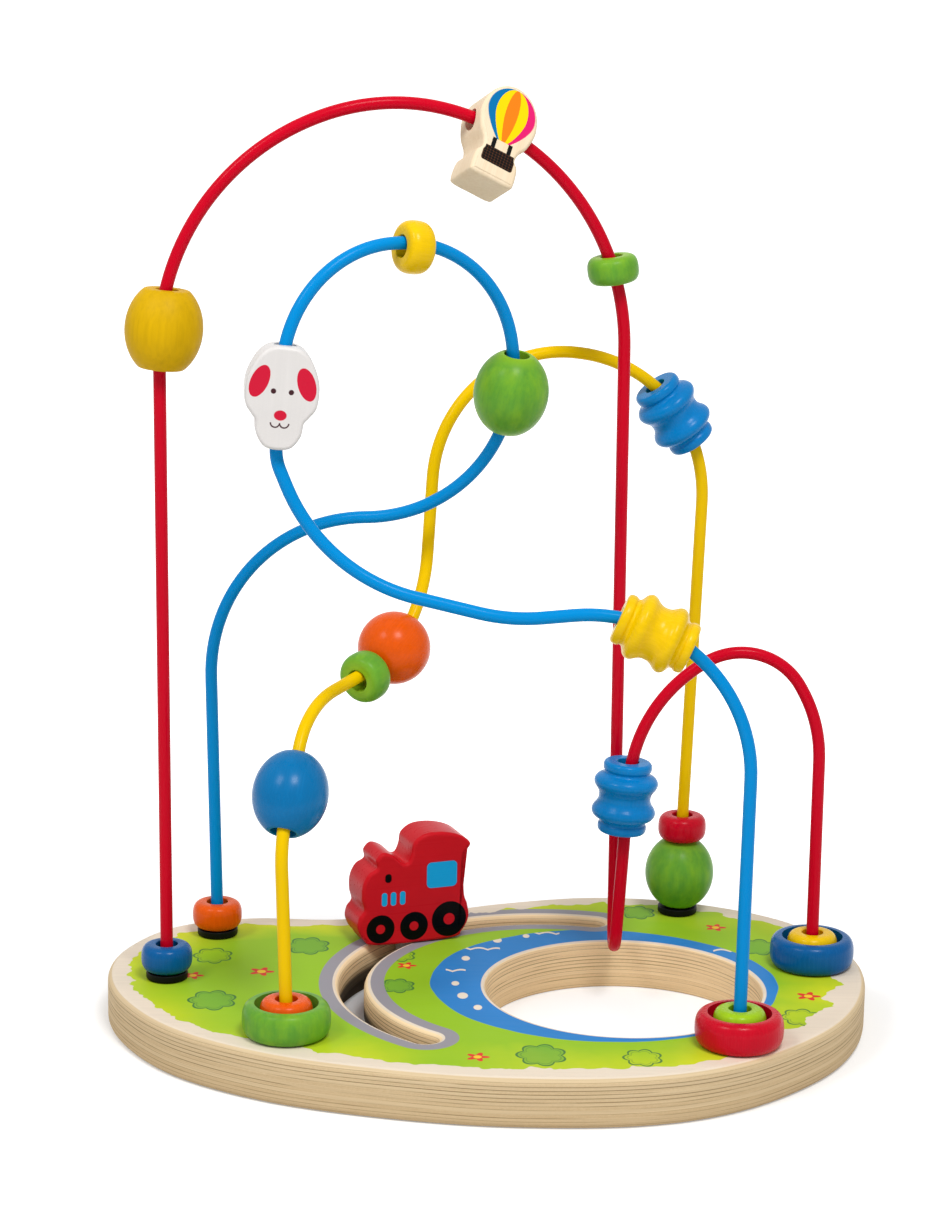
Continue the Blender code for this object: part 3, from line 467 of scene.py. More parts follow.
def stain(name, shade):
    """A matt stain through which the straight grain of the wood shows."""
    paint = Surface(name, 0.5, specular=0.1)
    streaks = paint.noise(paint.own, (1000, 1000, 5), 3.0, 0.6)
    lines = paint.noise(paint.own, (520, 520, 4))
    patch = paint.noise(paint.own, (80, 80, 32))
    colour = paint.mix(streaks * 0.5 + patch * 0.9 - 0.2, shaded(shade, 0.80), shaded(shade, 1.16))
    colour = paint.mix(lines.outside(0.56, 0.10) * 0.3, colour, shaded(shade, 0.74))
    paint.bump(streaks, 0.05 * MM, 0.35)
    return paint.set(Base_Color=colour, Roughness=streaks * 0.12 + 0.44)


def clouded(paint, low, high, waves, detail, smoothest, spread):
    """A plain finish whose colour and roughness drift a little between two values."""
    cloud = paint.noise(paint.place, waves, detail)
    return paint.set(Base_Color=paint.mix(cloud, low, high), Roughness=cloud * spread + smoothest)


def wire_coating(name, shade):
    """Smooth plastic on steel wire, a little cloudy."""
    paint = Surface(name, 0.24, 0.02, 0.1, specular=0.06)
    return clouded(paint, shaded(shade, 0.95), shaded(shade, 1.04), 30.0, 1.0, 0.21, 0.06)


def bare_wood(paint, light, dark, along, vector, lines=520.0):
    """Pale planed wood: wide soft bands, thin growth lines and pores that run along one axis."""
    waves = [lines] * 3
    waves[along] = 9.0
    grain = paint.noise(vector, waves, 4.0, 0.65)
    bands = paint.noise(vector, [w * 0.12 for w in waves])
    pores = paint.noise(vector, [w * 4 for w in waves], 1.0)
    tone = grain * 0.7 + bands * 0.5 + pores * 0.2 - 0.2
    return paint.mix(tone, dark, light), grain


def ply_colour(paint):
    """Cut edges of plywood: thin layers by height, each second one cut across its grain, with glue."""
    shades = colours()
    z = paint.parts(paint.place)[2]
    drift = paint.noise(paint.place, 16.0, 1.0)
    level = (z + (drift - 0.5) * (0.9 * MM)) / PLY
    layer = level.math("FLOOR", level)
    odd = abs(level.math("MODULO", layer, 2.0))
    tint = paint.node("ShaderNodeTexWhiteNoise", {"noise_dimensions": "1D"}, {"W": layer})
    streaks = paint.noise(paint.place, (10, 10, 2600), 5.0, 0.7)
    broad = paint.noise(paint.place, (14, 14, 900))
    flecks = paint.noise(paint.place, (900, 900, 1700), 2.0, 0.7)
    light, dark = tuple(shades.ply_light), tuple(shades.ply_dark)
    along = paint.mix(streaks * 2.4 - 0.7, shaded(light, 0.78), shaded(light, 1.08))
    across = paint.mix(flecks * 0.8 + streaks * 1.2 - 0.5, shaded(dark, 0.84), light)
    wood = paint.mix(odd * 0.35 + tint * 0.3 + broad * 0.3, along, across)
    broken = paint.noise(paint.place, (16, 16, 420), 3.0, 0.6).outside(0.46, 0.07)
    glue = abs(level - layer - 0.5).outside(0.40, 0.07) * tint.outside(0.30, 0.2) * broken
    wood = paint.mix(glue * 0.9, wood, shaded(dark, 0.40))
    # Painted shade: the plies darken towards the bottom of the edge, near the floor
    low = (z / BOARD_TOP).inside(0.38, 0.38)
    return paint.mix(low * 0.34, wood, shaded(dark, 0.78)), streaks * 0.6 + flecks * 0.4


def rim_radius_stops(loop, margin, count=72):
    """How far the print reaches from the board's middle in each direction, for a curve node."""
    points = [Vector(p) for p in loop]
    inner = []
    for i, point in enumerate(points):
        tangent = (points[(i + 1) % len(points)] - points[i - 1]).normalized()
        inward = Vector((-tangent.y, tangent.x))
        if inward.dot(point) > 0:
            inward = -inward
        inner.append(point + inward * margin)
    angles = np.array([math.atan2(p.y, p.x) for p in inner])
    radii = np.array([p.length for p in inner])
    order = np.argsort(angles)
    turns = np.linspace(0, 1, count)
    found = np.interp(turns * math.tau - math.pi, angles[order], radii[order], period=math.tau)
    return [(float(t), float(r)) for t, r in zip(turns, found / BOARD_LENGTH)]


def meadow_print(paint, x, y, from_rim):
    """Grass, yellower near the rim, with lobed bushes and flowers with five petals."""
    shades = colours()
    sunny = paint.noise(paint.place, (14, 14, 0), 1.0).outside(0.44, 0.16)
    meadow = paint.mix(sunny * from_rim.inside(14 * MM, 12 * MM), shades.meadow, shades.meadow_light)
    for filled, group in ((True, BUSHES), (False, OPEN_BUSHES)):
        for bush_x, bush_y, bush in group:
            dx, dy = x - bush_x * MM, (y - bush_y * MM) * 0.85
            lobes = abs(x.math("SINE", x.math("ARCTAN2", dy, dx) * BUSH_LOBES)) * 0.22 + 0.82
            far = paint.reach(dx, dy) / lobes
            edge = far.inside(bush * MM)
            line = edge - far.inside((bush - 0.9) * MM)
            inner_line = far.inside((bush - 1.7) * MM) - far.inside((bush - 2.2) * MM)
            if filled:
                meadow = paint.mix(edge * 0.6, meadow, BUSH_INK)
            meadow = paint.mix(line * 0.9 | inner_line * 0.45, meadow, BUSH_LINE_INK)
    for flower_x, flower_y, petal in FLOWERS:
        dx, dy = x - flower_x * MM, y - flower_y * MM
        petals = x.math("COSINE", x.math("ARCTAN2", dy, dx) * PETALS) * 0.26 + 0.74
        far = paint.reach(dx, dy)
        meadow = paint.mix((far / petals).inside(petal * MM), meadow, PETAL_INK)
        meadow = paint.mix(far.inside(petal * 0.34 * MM), meadow, FLOWER_INK)
    return meadow


def pond_print(paint, x, y):
    """Water with a row of waves here and there, and pale pebbles."""
    shades = colours()
    patch = paint.noise(paint.place, (30, 30, 0), 1.0)
    water = paint.mix(patch, shaded(shades.pond, 0.88), shaded(shades.pond, 1.12))
    ripple = y - abs(x.math("SINE", x * 440.0)) * (2.2 * MM)
    for ripple_x, ripple_y, half in RIPPLES:
        stroke = abs(ripple - ripple_y * MM).inside(0.9 * MM) * abs(x - ripple_x * MM).inside(half * MM)
        water = paint.mix(stroke, water, shaded(shades.wood, 0.98))
    for pebble_x, pebble_y, pebble in PEBBLES:
        spot = paint.reach(x - pebble_x * MM, (y - pebble_y * MM) * 0.6).inside(pebble * 0.7 * MM)
        water = paint.mix(spot, water, tuple(shades.wood))
    return water


def slot_reaches(paint, x, y):
    """The distance from the slot's whole circle, and a function that gives 1 so near to the slot itself."""
    across, along = x - SLOT_PLACE[0], y - SLOT_PLACE[1]
    middle, half_swing = (SLOT_FROM + SLOT_TO) / 2, (SLOT_TO - SLOT_FROM) / 2
    cosine, sine = math.cos(middle), math.sin(middle)
    swing = x.math("ARCTAN2", along * cosine - across * sine, across * cosine + along * sine)
    on_arc = abs(swing).inside(half_swing, 0.001)
    from_arc = abs(paint.reach(across, along) - SLOT_RADIUS)
    first, last = (
        paint.reach(across - SLOT_RADIUS * math.cos(a), along - SLOT_RADIUS * math.sin(a))
        for a in (SLOT_FROM, SLOT_TO)
    )
    from_end = first & last
    return from_arc, lambda reach: (from_arc.inside(reach) & on_arc) | from_end.inside(reach)


def board_paint(loop):
    """The plywood board with its print: a meadow, a pond round the hole and a road along the slot."""
    shades = colours()
    paint = Surface("printed plywood", 0.58, specular=0.05)
    x, y, z = paint.parts(paint.place)
    sides, side_height = ply_colour(paint)
    face, grain = bare_wood(paint, shaded(shades.wood, 1.03), shaded(shades.wood, 0.84), 0, paint.place)
    on_top = z.outside(BOARD_TOP - 0.25 * PLY, 0.1 * MM)
    wood = paint.mix(on_top, sides, face)

    wobble = paint.noise(paint.place, (26, 26, 0)) - 0.5
    tufts = paint.noise(paint.place, (170, 170, 0), 1.0) - 0.5
    turn = x.math("ARCTAN2", y, x)
    stops = rim_radius_stops(loop, sizes().print_margin)
    limit = paint.node("ShaderNodeFloatCurve", {"curve": stops}, {"Value": turn / math.tau + 0.5})
    scallop_share = paint.noise(paint.place, (11, 11, 0), 1.0).outside(0.52, 0.08)
    scallop = abs(x.math("SINE", turn * SCALLOPS)) * scallop_share
    short = limit * BOARD_LENGTH - scallop * (5 * MM) - abs(wobble) * (12 * MM) - tufts * (6 * MM)
    from_rim = short - paint.reach(x, y)

    pond_x, pond_y = (x - POND_PLACE[0] * MM) / POND_STRETCH, y - POND_PLACE[1] * MM
    pond = (paint.reach(pond_x, pond_y) + wobble * (3.5 * MM)).inside(POND_RADIUS * MM)
    design = paint.mix(pond, meadow_print(paint, x, y, from_rim), pond_print(paint, x, y))
    from_arc, near_slot = slot_reaches(paint, x, y)
    from_hole = paint.reach(x - HOLE_PLACE[0], y - HOLE_PLACE[1])
    road_half = sizes().road_width / 2
    design = paint.mix(near_slot(road_half), design, shades.road)
    bare = near_slot(road_half - ROAD_RIM * MM) | from_hole.inside(HOLE_RADIUS + HOLE_RIM * MM)
    ink = from_rim.outside(0.0) * on_top * (1 - bare)

    # Painted light: the hole's and the slot's walls are made 30 per cent brighter, against the shade in them
    inner = (from_hole.inside(HOLE_RADIUS + WALL_RIM * MM) | from_arc.inside(SLOT_WIDTH)) * (1 - on_top)
    painted_light_on_walls = {0: wood, "Scale": inner * 0.3 + 1.0}
    wood = paint.node("ShaderNodeVectorMath", {"operation": "SCALE"}, painted_light_on_walls)
    # Painted shade: the slot's lower walls are painted nearly black, for the shade in the recess under them
    slot_painted_shade = near_slot(SLOT_WIDTH) * z.inside(SLOT_PAINTED_SHADE_BELOW, 1.6 * MM) * 0.93
    wood = paint.mix(slot_painted_shade, wood, SLOT_PAINTED_SHADE)
    colour = paint.mix(ink * 0.98, wood, paint.mix(grain * 0.04, design, shaded(shades.wood, 0.9)))
    paint.bump(grain * on_top * (1 - ink * 0.8) + side_height * (1 - on_top), 0.12 * MM, 0.4)
    return paint.set(Base_Color=colour, Roughness=0.56 - ink * 0.12 + grain * 0.10)


def faces_of(paint, half_thick):
    """1 on the two flat faces of a figure, 0 on its sides. The paint's own Y runs through the figure."""
    x, y, z = paint.parts(paint.own)
    return x, z, abs(y).outside(half_thick - 0.1 * MM, 0.05 * MM)


def balloon_paint():
    """Bare wood with a striped balloon and a black basket printed on both faces."""
    shades = colours()
    paint = Surface("balloon print on wood", 0.5, specular=0.1)
    wood, grain = bare_wood(paint, *BALLOON_WOOD, 2, paint.own, 700.0)
    x, z, flat = faces_of(paint, FIGURE_HALF_THICK)
    centre, radius, neck, tall = 4.9 * MM, 10.3 * MM, -7.6 * MM, 12.5 * MM
    above = ((z - centre) | 0.0) / radius
    below = ((centre - z) | 0.0) / tall
    half = (((1 - above * above) | 0.0) ** 0.5) * (1 - below ** 1.7 * 0.72) * radius
    across = x / (half | MERGE)
    envelope = abs(across).inside(1.0, 0.02) * z.outside(neck)
    stripes = (
        (0.0, shades.blue), (0.17, GORE_YELLOW), (0.37, GORE_ORANGE), (0.63, GORE_YELLOW),
        (0.83, GORE_PINK),
    )
    settings = {"ramp": "CONSTANT", "stops": stripes}
    gores = paint.node("ShaderNodeValToRGB", settings, {0: across * 0.5 + 0.5})
    basket = paint.box(x, z, (0.0, -14.8), (6.9, 3.3), 1.0)
    weave = abs(x.math("SINE", x * 2400.0)) * abs(x.math("SINE", z * 2900.0))
    ropes = abs(abs(x) - 3.5 * MM).inside(0.9 * MM) * abs(z + 10.0 * MM).inside(2.6 * MM)
    colour = paint.mix(envelope * flat, wood, gores)
    colour = paint.mix((ropes | basket) * flat, colour, shades.black)
    colour = paint.mix(basket * flat * weave.inside(0.12, 0.05) * 0.5, colour, BASKET_INK)
    paint.bump(grain, 0.08 * MM, 0.4)
    return paint.set(Base_Color=colour, Roughness=0.42 + grain * 0.12)


def puppy_paint():
    """White lacquer with a plain dog's face on both sides: two ear patches, two eyes and a nose."""
    paint = Surface("puppy face", 0.34, 0.05, 0.15, specular=0.15)
    base, fibre = lacquer_grain(paint, colours().white, 0.05)
    x, z, flat = faces_of(paint, FIGURE_HALF_THICK)
    side = abs(x)
    lean_x, lean_z = side * 0.94 + z * 0.34 - 10.2 * MM, z * 0.94 - side * 0.34 - 2.6 * MM
    ears = paint.reach(lean_x * 1.9, lean_z).inside(6.3 * MM)
    eyes = paint.reach(side - 3.3 * MM, z - 2.6 * MM).inside(1.0 * MM)
    nose = paint.reach(x * 0.8, z + 6.2 * MM).inside(1.9 * MM)
    smile = abs(paint.reach(side - 1.7 * MM, z + 9.0 * MM) - 1.7 * MM).inside(0.28 * MM)
    colour = paint.mix((ears | nose) * flat, base, EAR_INK)
    colour = paint.mix((eyes | smile * z.inside(-9.0 * MM)) * flat, colour, EYE_INK)
    return paint.set(Base_Color=colour, Roughness=fibre * 0.14 + 0.26)


def train_paint():
    """Red lacquer with a window, three vents, three wheels and a round-topped mark on both sides."""
    shades = colours()
    paint = Surface("train lacquer and print", 0.32, 0.02, 0.12, specular=0.05)
    base, fibre = lacquer_grain(paint, shades.train_red, 0.07, 0.3, 0)
    x, z, flat = faces_of(paint, TRAIN_HALF_THICK)
    blue = paint.box(x, z, (11.6, 28.6), (6.6, 5.5), 2.0)
    for place in VENTS:
        blue = blue | paint.box(x, z, (place, 20.1), (1.2, 2.9), 1.1)
    black = paint.box(x, z, (-11.8, 29.1), (1.4, 1.9), 1.3)
    for place, height, radius in WHEELS:
        far = paint.reach(x - place * MM, z - height * MM)
        black = black | far.inside(radius * MM) - far.inside(radius * HUB_SHARE * MM)
    frame_line = paint.box(x, z, (11.6, 28.6), (6.9, 5.8), 2.3)
    colour = paint.mix(frame_line * flat * 0.4, base, WINDOW_LINE_INK)
    colour = paint.mix(blue * flat, colour, WINDOW_INK)
    colour = paint.mix(black * flat, colour, shades.black)
    return paint.set(Base_Color=colour, Roughness=fibre * 0.14 + 0.22)


def rubber_paint():
    paint = Surface("black collar", 0.5, specular=0.12)
    black = colours().black
    return clouded(paint, shaded(black, 0.7), shaded(black, 1.6), 900.0, 3.0, 0.3, 0.3)


def steel_paint():
    return clouded(Surface("zinc plated steel", 0.3, metallic=1.0), *ZINC, 700.0, 3.0, 0.18, 0.3)


def sleeve_paint():
    return clouded(Surface("grey plastic sleeve", 0.4), *GREY_PLASTIC, 500.0, 2.0, 0.3, 0.2)


# Modelling

def only(obj):
    """Makes this the one selected object, and the active one."""
    bpy.ops.object.select_all(action="DESELECT")
    obj.select_set(True)
    bpy.context.view_layer.objects.active = obj


def edit(obj):
    only(obj)
    bpy.ops.object.mode_set(mode="EDIT")
    bpy.ops.mesh.select_mode(type="EDGE")
    bpy.ops.mesh.select_all(action="SELECT")


def object_mode():
    bpy.ops.object.mode_set(mode="OBJECT")


def circle_on(name, points, fill="NOTHING"):
    """Adds a circle and lays its points on a closed line."""
    bpy.ops.object.select_all(action="DESELECT")
    bpy.ops.mesh.primitive_circle_add(vertices=len(points), fill_type=fill)
    obj = bpy.context.object
    obj.name = obj.data.name = name
    for vertex, point in zip(obj.data.vertices, points):
        vertex.co = point
    return obj


def plate(name, loop, low, high):
    """A plate with this outline in X and Y, between two heights."""
    obj = circle_on(name, [(x, y, low) for x, y in loop], "NGON")
    edit(obj)
    bpy.ops.mesh.extrude_region_move(TRANSFORM_OT_translate={"value": (0, 0, high - low)})
    bpy.ops.mesh.select_all(action="SELECT")
    bpy.ops.mesh.normals_make_consistent(inside=False)
    object_mode()
    return obj


def turned(name, profile, steps=72):
    """A closed profile of (radius, height) points spun round the Z axis."""
    obj = circle_on(name, [(radius, 0, height) for radius, height in profile])
    edit(obj)
    bpy.ops.mesh.spin(steps=steps, angle=math.tau, center=(0, 0, 0), axis=(0, 0, 1))
    bpy.ops.mesh.select_all(action="SELECT")
    bpy.ops.mesh.remove_doubles(threshold=MERGE)
    bpy.ops.mesh.normals_make_consistent(inside=False)
    object_mode()
    return obj


def soften(obj, test, width, steps=4):
    """Rounds the edges whose two ends pass a test."""
    edit(obj)
    bpy.ops.mesh.select_all(action="DESELECT")
    shape = bmesh.from_edit_mesh(obj.data)
    for edge in shape.edges:
        if all(test(vertex.co) for vertex in edge.verts):
            edge.select_set(True)
    bmesh.update_edit_mesh(obj.data)
    bpy.ops.mesh.bevel(offset=width, segments=steps, affect="EDGES")
    object_mode()


def carve(obj, cutter):
    """Cuts one piece out of another, and removes the cutter."""
    modifier = obj.modifiers.new("cut", "BOOLEAN")
    modifier.operation = "DIFFERENCE"
    modifier.object = cutter
    only(obj)
    bpy.ops.object.modifier_apply(modifier=modifier.name)
    bpy.data.objects.remove(cutter)


def rod(name, radius, low, high, sides=64):
    """A round cutter about the Z axis."""
    bpy.ops.object.select_all(action="DESELECT")
    bpy.ops.mesh.primitive_cylinder_add(vertices=sides, radius=radius, depth=high - low, location=(0, 0, 0))
    obj = bpy.context.object
    obj.name = name
    obj.data.transform(Matrix.Translation((0, 0, (high + low) / 2)))
    return obj


def moved(obj, x, y):
    obj.data.transform(Matrix.Translation((x, y, 0)))
    return obj


def complete(obj, material, body, slot, nodes=(), place=None):
    """Shades a piece, keeps its own coordinates for its grain, puts it in its place and on its body."""
    own = obj.data.attributes.new("own_place", "FLOAT_VECTOR", "POINT")
    own.data.foreach_set("vector", [c for vertex in obj.data.vertices for c in vertex.co])
    if place is not None:
        obj.data.transform(place)
    only(obj)
    bpy.ops.object.shade_smooth_by_angle(angle=SHARP)
    even = obj.modifiers.new("even shading", "WEIGHTED_NORMAL")
    even.keep_sharp = True
    bpy.ops.object.modifier_apply(modifier=even.name)
    obj.data.materials.clear()
    obj.data.materials.append(material)
    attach(obj, body)
    if nodes:
        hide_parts(*nodes)
    return obj


def smooth_loop(corners, steps):
    """A closed Catmull-Rom curve through the corners."""
    corners = [Vector(c) for c in corners]
    count = len(corners)
    loop = []
    for i in range(count):
        before, start, end, after = (corners[(i + k) % count] for k in (-1, 0, 1, 2))
        for step in range(steps):
            t = step / steps
            loop.append(tuple(
                start + (end - before) * (t / 2) + (before * 2 - start * 5 + end * 4 - after) * (t**2 / 2)
                + (start * 3 - before - end * 3 + after) * (t**3 / 2)
            ))
    return loop


def arc_band(radius, width, start, end, steps=72, end_steps=12):
    """The outline of a band along an arc about the origin, with round ends."""
    def around(centre, reach, first, last, count):
        return [
            (centre[0] + reach * math.cos(first + (last - first) * k / count),
             centre[1] + reach * math.sin(first + (last - first) * k / count))
            for k in range(count + 1)
        ]
    tips = [(radius * math.cos(a), radius * math.sin(a)) for a in (start, end)]
    outline = around((0, 0), radius + width / 2, start, end, steps)
    outline += around(tips[1], width / 2, end, end + math.pi, end_steps)[1:-1]
    outline += around((0, 0), radius - width / 2, end, start, steps)
    return outline + around(tips[0], width / 2, start + math.pi, start + math.tau, end_steps)[1:-1]


def on_board(shares):
    return Vector((shares[0] * BOARD_LENGTH / 2, shares[1] * BOARD_DEPTH / 2, 0.0))


def corner_of(row):
    """A corner of a wire from its row of shares, with the radius of its bend."""
    return on_board(row) + Vector((0, 0, BOARD_TOP + row[2] * WIRE_RISE)), row[3] * WIRE_RISE


def wire_points(feet, corners, step=0.0016, step_angle=math.radians(3)):
    """A wire's line from one foot to the other: straight runs joined by round bends."""
    first, last = on_board(feet[0]), on_board(feet[1])
    up = Vector((0, 0, 1))
    corners = [(first + up * WIRE_END, 0.0), (first + up * WIRE_LIFT, FOOT_BEND), *corners]
    corners += [(last + up * WIRE_LIFT, FOOT_BEND), (last + up * WIRE_END, 0.0)]
    places = [corner[0] for corner in corners]
    bends = [corner[1] for corner in corners]

    def needed(i):
        if i in (0, len(places) - 1):
            return 0.0
        opening = (places[i - 1] - places[i]).angle(places[i + 1] - places[i])
        return bends[i] / math.tan(opening / 2)

    for i in range(len(bends) - 1):
        share = min(1.0, (places[i + 1] - places[i]).length / max(needed(i) + needed(i + 1), NEAR))
        bends[i] *= share
        bends[i + 1] *= share
    points = [places[0]]
    for i in range(1, len(places) - 1):
        back = (places[i - 1] - places[i]).normalized()
        ahead = (places[i + 1] - places[i]).normalized()
        start, end = places[i] + back * needed(i), places[i] + ahead * needed(i)
        centre = places[i] + (back + ahead).normalized() * (bends[i] / math.sin(back.angle(ahead) / 2))
        turn = math.pi - back.angle(ahead)
        normal = (start - centre).cross(end - centre).normalized()
        count = max(1, math.ceil(max(bends[i] * turn / (step * 2), turn / step_angle)))
        for k in range(count + 1):
            point = centre + Matrix.Rotation(turn * k / count, 3, normal) @ (start - centre)
            if (point - points[-1]).length > 0.02 * MM:
                points.append(point)
    points.append(places[-1])
    bare, coated = Vector((0, 0, COAT_END)), Vector((0, 0, COAT_END + 0.1 * MM))
    return [points[0], first + bare, first + coated, *points[1:-1], last + coated, last + bare, points[-1]]


def tube(name, points, radius):
    """A round wire along a line, with closed ends. Its coating stops where it enters the board."""
    bpy.ops.object.select_all(action="DESELECT")
    bpy.ops.curve.primitive_nurbs_path_add()
    obj = bpy.context.object
    obj.name = name
    line = obj.data
    line.splines.clear()
    line.bevel_depth = radius
    line.bevel_resolution = 10
    line.use_fill_caps = True
    spline = line.splines.new("POLY")
    spline.points.add(len(points) - 1)
    for point, place in zip(spline.points, points):
        point.co = (*place, 1.0)
        point.radius = 1.0 if place.z > COAT_END + 0.05 * MM else WIRE_RADIUS / radius
    obj.location = (0, 0, 0)
    only(obj)
    bpy.ops.object.convert(target="MESH")
    obj = bpy.context.object
    edit(obj)
    bpy.ops.mesh.remove_doubles(threshold=MERGE)
    bpy.ops.mesh.normals_make_consistent(inside=False)
    object_mode()
    obj.data.name = name
    return obj


# Bead profiles

def rounded_side(bead, steps=20, power=2.6):
    widest, flat, half, _ = bead
    points = []
    for k in range(2 * steps + 1):
        angle = k * math.pi / 2 / steps
        reach = abs(math.sin(angle)) ** (2 / power)
        rise = math.copysign(abs(math.cos(angle)) ** (2 / power), math.cos(angle)) if k != steps else 0.0
        points.append((flat + (widest - flat) * reach, rise * half))
    return points


def egg_side(bead, steps=20):
    widest, flat, half, _ = bead
    full = math.acos(flat / widest)
    tall = half / math.sin(full)
    return [
        (widest * math.cos(full * (1 - k / steps)), tall * math.sin(full * (1 - k / steps)))
        for k in range(2 * steps + 1)
    ]


def ribbed_side(steps=5):
    """The side of the bead with two ribs: a smooth line through its stops."""
    stops = [*RIBBED_STOPS, *((radius, -z) for radius, z in reversed(RIBBED_STOPS[:-1]))]
    beyond = (RIBBED_BEYOND[0], -RIBBED_BEYOND[1])
    return smooth_loop([RIBBED_BEYOND, *stops, beyond], steps)[steps:steps * len(stops) + 1]


def bead(name, side, bore, rim):
    """A turned bead about Z with a bore, rounded where its side meets its ends and at the mouths."""
    flat, half = side[0]
    obj = turned(name, [*side, (bore, -half), (bore, 0.0), (bore, half)])

    def at(radius):
        return lambda co: abs(abs(co.z) - half) < NEAR and abs(math.hypot(co.x, co.y) - radius) < NEAR

    if flat - bore > rim * 1.5:
        soften(obj, at(flat), rim, 3)
        soften(obj, at(bore), rim * 0.7, 3)
    return obj


# Places, worked out from the frame

def volume_axes(node):
    """A CAD node's points, its volume's middle, and its axes with the spread along each, least first."""
    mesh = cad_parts[node].data
    mesh.calc_loop_triangles()
    points = np.array([vertex.co for vertex in mesh.vertices], float)
    corners = points[np.array([triangle.vertices for triangle in mesh.loop_triangles])]
    origin = points.mean(0)
    corners = corners - origin
    volume = np.linalg.det(corners)
    total = corners.sum(1)
    centre = (volume[:, None] * total).sum(0) / 4 / volume.sum()
    moment = np.einsum("n,ni,nj->ij", volume, total, total)
    moment += np.einsum("n,nki,nkj->ij", volume, corners, corners)
    spread, axes = np.linalg.eigh(moment / 20 / volume.sum() - np.outer(centre, centre))
    return points, Vector(centre + origin), spread, axes


def turned_place(node):
    """The place of a turned CAD node: its middle, with Z along the one axis its inertia singles out."""
    _, middle, spread, axes = volume_axes(node)
    lone = 0 if spread[1] - spread[0] > spread[2] - spread[1] else 2
    axis = Vector(axes[:, lone])
    if axis.z < 0:
        axis = -axis
    return Matrix.Translation(middle) @ axis.to_track_quat("Z", "Y").to_matrix().to_4x4()


def figure_place(node, height, raise_by):
    """The place of a flat CAD figure: Y through it, Z up it, and its top where the outline has it."""
    points, _, _, axes = volume_axes(node)
    through, up = Vector(axes[:, 0]), Vector(axes[:, 2])
    if through.y < 0:
        through = -through
    if up.z < 0:
        up = -up
    turn = Matrix((through.cross(up), through, up)).transposed()
    own = points @ np.array(turn)
    middle = (own.max(0) + own.min(0)) / 2
    middle[2] = own[:, 2].max() - raise_by - height / 2
    return Matrix.Translation(turn @ Vector(middle)) @ turn.to_4x4()


# Pieces

MATERIALS = {}


def lacquer_of(colour):
    """The lacquer of a colour, made once."""
    if colour not in MATERIALS:
        name, shade = colour.replace("_", " "), tuple(getattr(colours(), colour))
        if colour == "matt_yellow":
            MATERIALS[colour] = stain(name + " stain", shade)
        elif colour == "green":
            MATERIALS[colour] = mottled_lacquer(name + " lacquer", shade, tuple(colours().lime_green))
        else:
            contrast = 0.07 if colour == "bright_blue" else 0.12
            MATERIALS[colour] = lacquer(name + " lacquer", shade, contrast)
    return MATERIALS[colour]


def place_beads(kind, side, bore, rows, rim=None):
    """Models one bead and copies it to every node of its kind, each with the colour of its row."""
    model = bead(kind + "_model", side, bore, rim or sizes().bead_round)
    for node, colour in rows:
        copy = bpy.data.objects.new(node + "_turned", model.data.copy())
        bpy.context.scene.collection.objects.link(copy)
        slot = colour.split("_")[-1] + "_lacquer"
        complete(copy, lacquer_of(colour), node, slot, [node], turned_place(node))
    bpy.data.objects.remove(model)


class MAZE_OT_board(bpy.types.Operator):
    """Model the plywood board with its hole, slot, track and bores"""

    bl_idname = "maze.board"
    bl_label = "Board"

    def execute(self, context):
        loop = smooth_loop([tuple(on_board(share).xy) for share in BOARD_OUTLINE], 12)
        board = plate("base_board_plywood", loop, 0.0, BOARD_TOP)
        for low_or_top in (lambda co: co.z < NEAR, lambda co: co.z > BOARD_TOP - NEAR):
            soften(board, low_or_top, sizes().board_round, 6)
        slot = plate("slot", arc_band(SLOT_RADIUS, SLOT_WIDTH, SLOT_FROM, SLOT_TO), *BOARD_CUT)
        carve(board, moved(slot, *SLOT_PLACE))

        def at_slot(co):
            across, along = co.x - SLOT_PLACE[0], co.y - SLOT_PLACE[1]
            off_line = abs(math.hypot(across, along) - SLOT_RADIUS)
            turn = math.atan2(along, across) % math.tau
            beside = SLOT_FROM - SLOT_PAST < turn < SLOT_TO + SLOT_PAST
            return co.z > BOARD_TOP - NEAR and off_line < SLOT_WIDTH * 0.6 and beside

        soften(board, at_slot, sizes().board_round, 6)
        carve(board, moved(rod("hole", HOLE_RADIUS, *BOARD_CUT, 160), *HOLE_PLACE))

        def at_hole(co):
            reach = math.hypot(co.x - HOLE_PLACE[0], co.y - HOLE_PLACE[1])
            return abs(reach - HOLE_RADIUS) < NEAR and (co.z > BOARD_TOP - NEAR or co.z < NEAR)

        soften(board, at_hole, HOLE_ROUND, 3)
        band = arc_band(SLOT_RADIUS, TRACK_WIDTH, SLOT_FROM, SLOT_TO)
        carve(board, moved(plate("track", band, BOARD_CUT[0], TRACK_DEPTH), *SLOT_PLACE))
        for foot in (*RED_FEET, *BLUE_FEET, *YELLOW_FEET):
            bore = rod("bore", WIRE_RADIUS + BORE_PLAY, *BOARD_CUT, 32)
            carve(board, moved(bore, *on_board(foot).xy))
            counterbore = rod("counterbore", COUNTERBORE_RADIUS, BOARD_CUT[0], COUNTERBORE_DEPTH, 48)
            carve(board, moved(counterbore, *on_board(foot).xy))
        complete(board, board_paint(loop), "maze", "plywood", ["base_board"])
        return {"FINISHED"}


